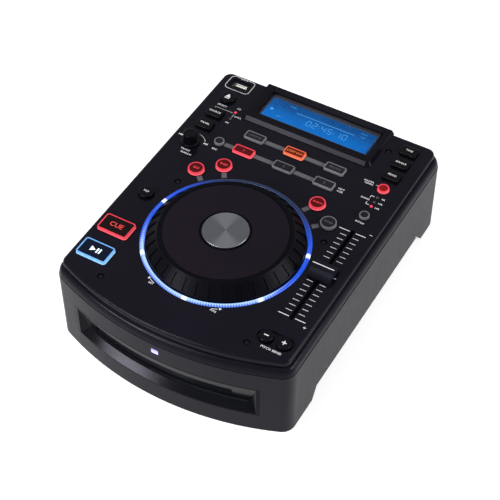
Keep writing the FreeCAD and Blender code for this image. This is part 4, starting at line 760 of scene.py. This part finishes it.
# Display: lit area, thin bar, play mark and seven-segment digits
display = {
    "glassTop": 83.83, "centre": (0.0, 122.8), "area": (103.0, 25.0), "digitHeight": 6.2, "digitWidth": 3.7,
    "digitPitch": 6.0, "colonPitch": 2.6, "digitY": 119.9, "digitStart": -10.5, "time": "02:45:10",
    "stroke": 0.55, "gap": 0.25, "barY": 126.6, "bar": (-24.0, 33.0), "playAt": (-46.3, 121.2),
    "play": 3.6, "colonRise": 1.3, "colonSpan": (-0.4, 0.2), "colonWidth": 0.6, "corner": 0.4,
    "wordHeight": 1.5,
    "words": (("TOTAL", -30.0, 131.6), ("PITCH", 40.0, 131.6), ("0.0%", 41.0, 127.6),
              ("BPM", -36.0, 115.0)),
    "segments": {"0": "abcdef", "1": "bc", "2": "abged", "3": "abgcd", "4": "fgbc", "5": "afgcd",
                 "6": "afgedc", "7": "abc", "8": "abcdefg", "9": "abcdfg"},
}


def drawDigit(shape, look, mark, x, z):
    x1, gap = x + look["digitWidth"], look["gap"]
    y = look["digitY"] - look["digitHeight"] / 2
    mid, top = look["digitY"], look["digitY"] + look["digitHeight"] / 2
    bars = {"a": ((x + gap, top), (x1 - gap, top)), "g": ((x + gap, mid), (x1 - gap, mid)),
            "d": ((x + gap, y), (x1 - gap, y)), "f": ((x, mid + gap), (x, top - gap)),
            "b": ((x1, mid + gap), (x1, top - gap)), "e": ((x, y + gap), (x, mid - gap)),
            "c": ((x1, y + gap), (x1, mid - gap))}
    for segment in look["segments"][mark]:
        strip(shape, *bars[segment], look["stroke"], z)


def buildDisplay(look):
    area = bmesh.new()
    roundedPlate(area, *look["centre"], *look["area"], look["corner"], look["glassTop"])
    newPiece("displayArea", area, "displayBlue", "case")
    z = look["glassTop"] + printGap
    shape = bmesh.new()
    x = look["digitStart"]
    for mark in look["time"]:
        if mark == ":":
            start, end = (x + step for step in look["colonSpan"])
            for y in (look["digitY"] - look["colonRise"], look["digitY"] + look["colonRise"]):
                strip(shape, (start, y), (end, y), look["colonWidth"], z)
            x += look["colonPitch"]
        else:
            drawDigit(shape, look, mark, x, z)
            x += look["digitPitch"]
    strip(shape, (look["bar"][0], look["barY"]), (look["bar"][1], look["barY"]), look["stroke"], z)
    arrowHead(shape, *look["playAt"], look["play"], 0.0, z)
    for text, wordX, wordY in look["words"]:
        lettering(shape, text, look["wordHeight"], flatPlace(wordX, wordY, z), 0.0)
    newPiece("displayMarks", shape, "displayInk", "case")


buildDisplay(display)
print("display made")


# White line across the fader's grip
faderLine = {"line": 0.8, "end": 0.4}


def buildFaderLine(look):
    low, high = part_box("fader_cap")
    y, top = keyTop("fader_cap")[1:]
    shape = bmesh.new()
    start, end = low.x / mm + look["end"], high.x / mm - look["end"]
    strip(shape, (start, y), (end, y), look["line"], top + printGap)
    newPiece("faderLine", shape, "inkWhite", "fader")


buildFaderLine(faderLine)


# Print on the rear face
rearPrint = {
    "faceY": 138.55, "labels": (("R", -30.0, 52.4, 2.6), ("L", -46.0, 52.4, 2.6), ("OUT", -38.0, 57.4, 2.4),
                                ("DIGITAL", -62.0, 52.4, 2.0), ("DATA", 2.0, 54.0, 2.2)),
}


def buildRearPrint(look):
    shape = bmesh.new()
    for text, x, z, height in look["labels"]:
        lettering(shape, text, height, rearPlace(x, look["faceY"], z))
    newPiece("rearPrint", shape, "inkWhite", "case")


buildRearPrint(rearPrint)
print("small print made")


# Floor, backdrop and light
stageLook = {"paper": 0.72, "radius": 1.2, "drop": 0.2, "lift": 0.58, "sky": 0.36}


def seenFactor(tree):
    # 1 where the camera looks, or a mirror or glass shows it; 0 for the light that falls on the object
    path = addNode(tree, "ShaderNodeLightPath")
    seen, glossy, through = (Wire(tree, path.outputs[name]) for name in
                             ("Is Camera Ray", "Is Glossy Ray", "Is Transmission Ray"))
    return seen.maths("MAXIMUM", seen.maths("MAXIMUM", seen, glossy), through)


def buildStage(look):
    shape = bmesh.new()
    bmesh.ops.create_circle(shape, cap_ends=True, segments=96, radius=look["radius"],
                            matrix=flatPlace(0, 0, -look["drop"] * mm))
    floorMesh = bpy.data.meshes.new("floor")
    shape.to_mesh(floorMesh)
    shape.free()
    paper = bpy.data.materials.new("floorPaper")
    paper.use_nodes = True
    tree = paper.node_tree
    shader = tree.nodes["Principled BSDF"]
    for key, value in (("Base Color", (look["paper"],) * 3 + (1,)), ("Roughness", 0.9),
                       ("Specular IOR Level", 0.0), ("Emission Strength", 1.0)):
        shader.inputs[key].default_value = value
    glow = mixColours(tree, seenFactor(tree), (0, 0, 0), (look["lift"],) * 3)
    tree.links.new(glow.socket, shader.inputs["Emission Color"])
    floorMesh.materials.append(paper)
    floor = bpy.data.objects.new("floor", floorMesh)
    bpy.context.scene.collection.objects.link(floor)
    world = bpy.data.worlds.new("studio")
    bpy.context.scene.world = world
    world.use_nodes = True
    tree = world.node_tree
    backdrop = mixColours(tree, seenFactor(tree), (look["sky"],) * 3, (1, 1, 1))
    tree.links.new(backdrop.socket, tree.nodes["Background"].inputs["Color"])


# Soft boxes: where each stands, what it faces, its size and power
softBoxes = {
    "overhead": {"at": (-0.45, -0.86, 1.25), "aim": (0, 0, 0.05), "size": (0.45, 0.2), "power": 9.0},
    "lowFront": {"at": (-0.56, -1.48, 0.58), "aim": (0, 0.1, 0.08), "size": (0.6, 0.14), "power": 6.0},
    "leftFront": {"at": (-0.8, -1.26, 0.7), "aim": (0, -0.14, 0.03), "size": (0.6, 0.14), "power": 16.0},
    "rightSide": {"at": (1.5, 0.35, 0.6), "aim": (0, 0, 0.05), "size": (0.9, 0.6), "power": 24.0},
}


def buildLights(boxes):
    for name, box in boxes.items():
        lamp = bpy.data.lights.new(name, "AREA")
        lamp.shape = "RECTANGLE"
        lamp.size, lamp.size_y = box["size"]
        lamp.energy = box["power"]
        holder = bpy.data.objects.new(name, lamp)
        holder.location = box["at"]
        direction = Vector(box["aim"]) - Vector(box["at"])
        holder.rotation_euler = direction.to_track_quat("-Z", "Y").to_euler()
        bpy.context.scene.collection.objects.link(holder)


# The viewpoint, in the object's own axes
viewpoint = {"at": (0.4086, -0.70534, 0.9492), "azimuth": 30.03, "elevation": 48.164, "roll": -0.136,
             "lens": 103.38, "sensor": 36.0}


def buildCamera(look):
    turn, tip, roll = (math.radians(look[key]) for key in ("azimuth", "elevation", "roll"))
    back = Vector((math.sin(turn) * math.cos(tip), -math.cos(turn) * math.cos(tip), math.sin(tip)))
    right = Vector((math.cos(turn), math.sin(turn), 0))
    up = back.cross(right)
    across = math.cos(roll) * right + math.sin(roll) * up
    upward = -math.sin(roll) * right + math.cos(roll) * up
    camera = bpy.data.cameras.new("camera")
    camera.lens = look["lens"]
    camera.sensor_width = look["sensor"]
    camera.clip_start = 0.01
    holder = bpy.data.objects.new("camera", camera)
    turned = Matrix((across, upward, back)).transposed().to_4x4()
    holder.matrix_world = Matrix.Translation(look["at"]) @ turned
    bpy.context.scene.collection.objects.link(holder)
    bpy.context.scene.camera = holder


buildStage(stageLook)
buildLights(softBoxes)
buildCamera(viewpoint)
bpy.context.scene.view_settings.view_transform = "Standard"
print("stage set")
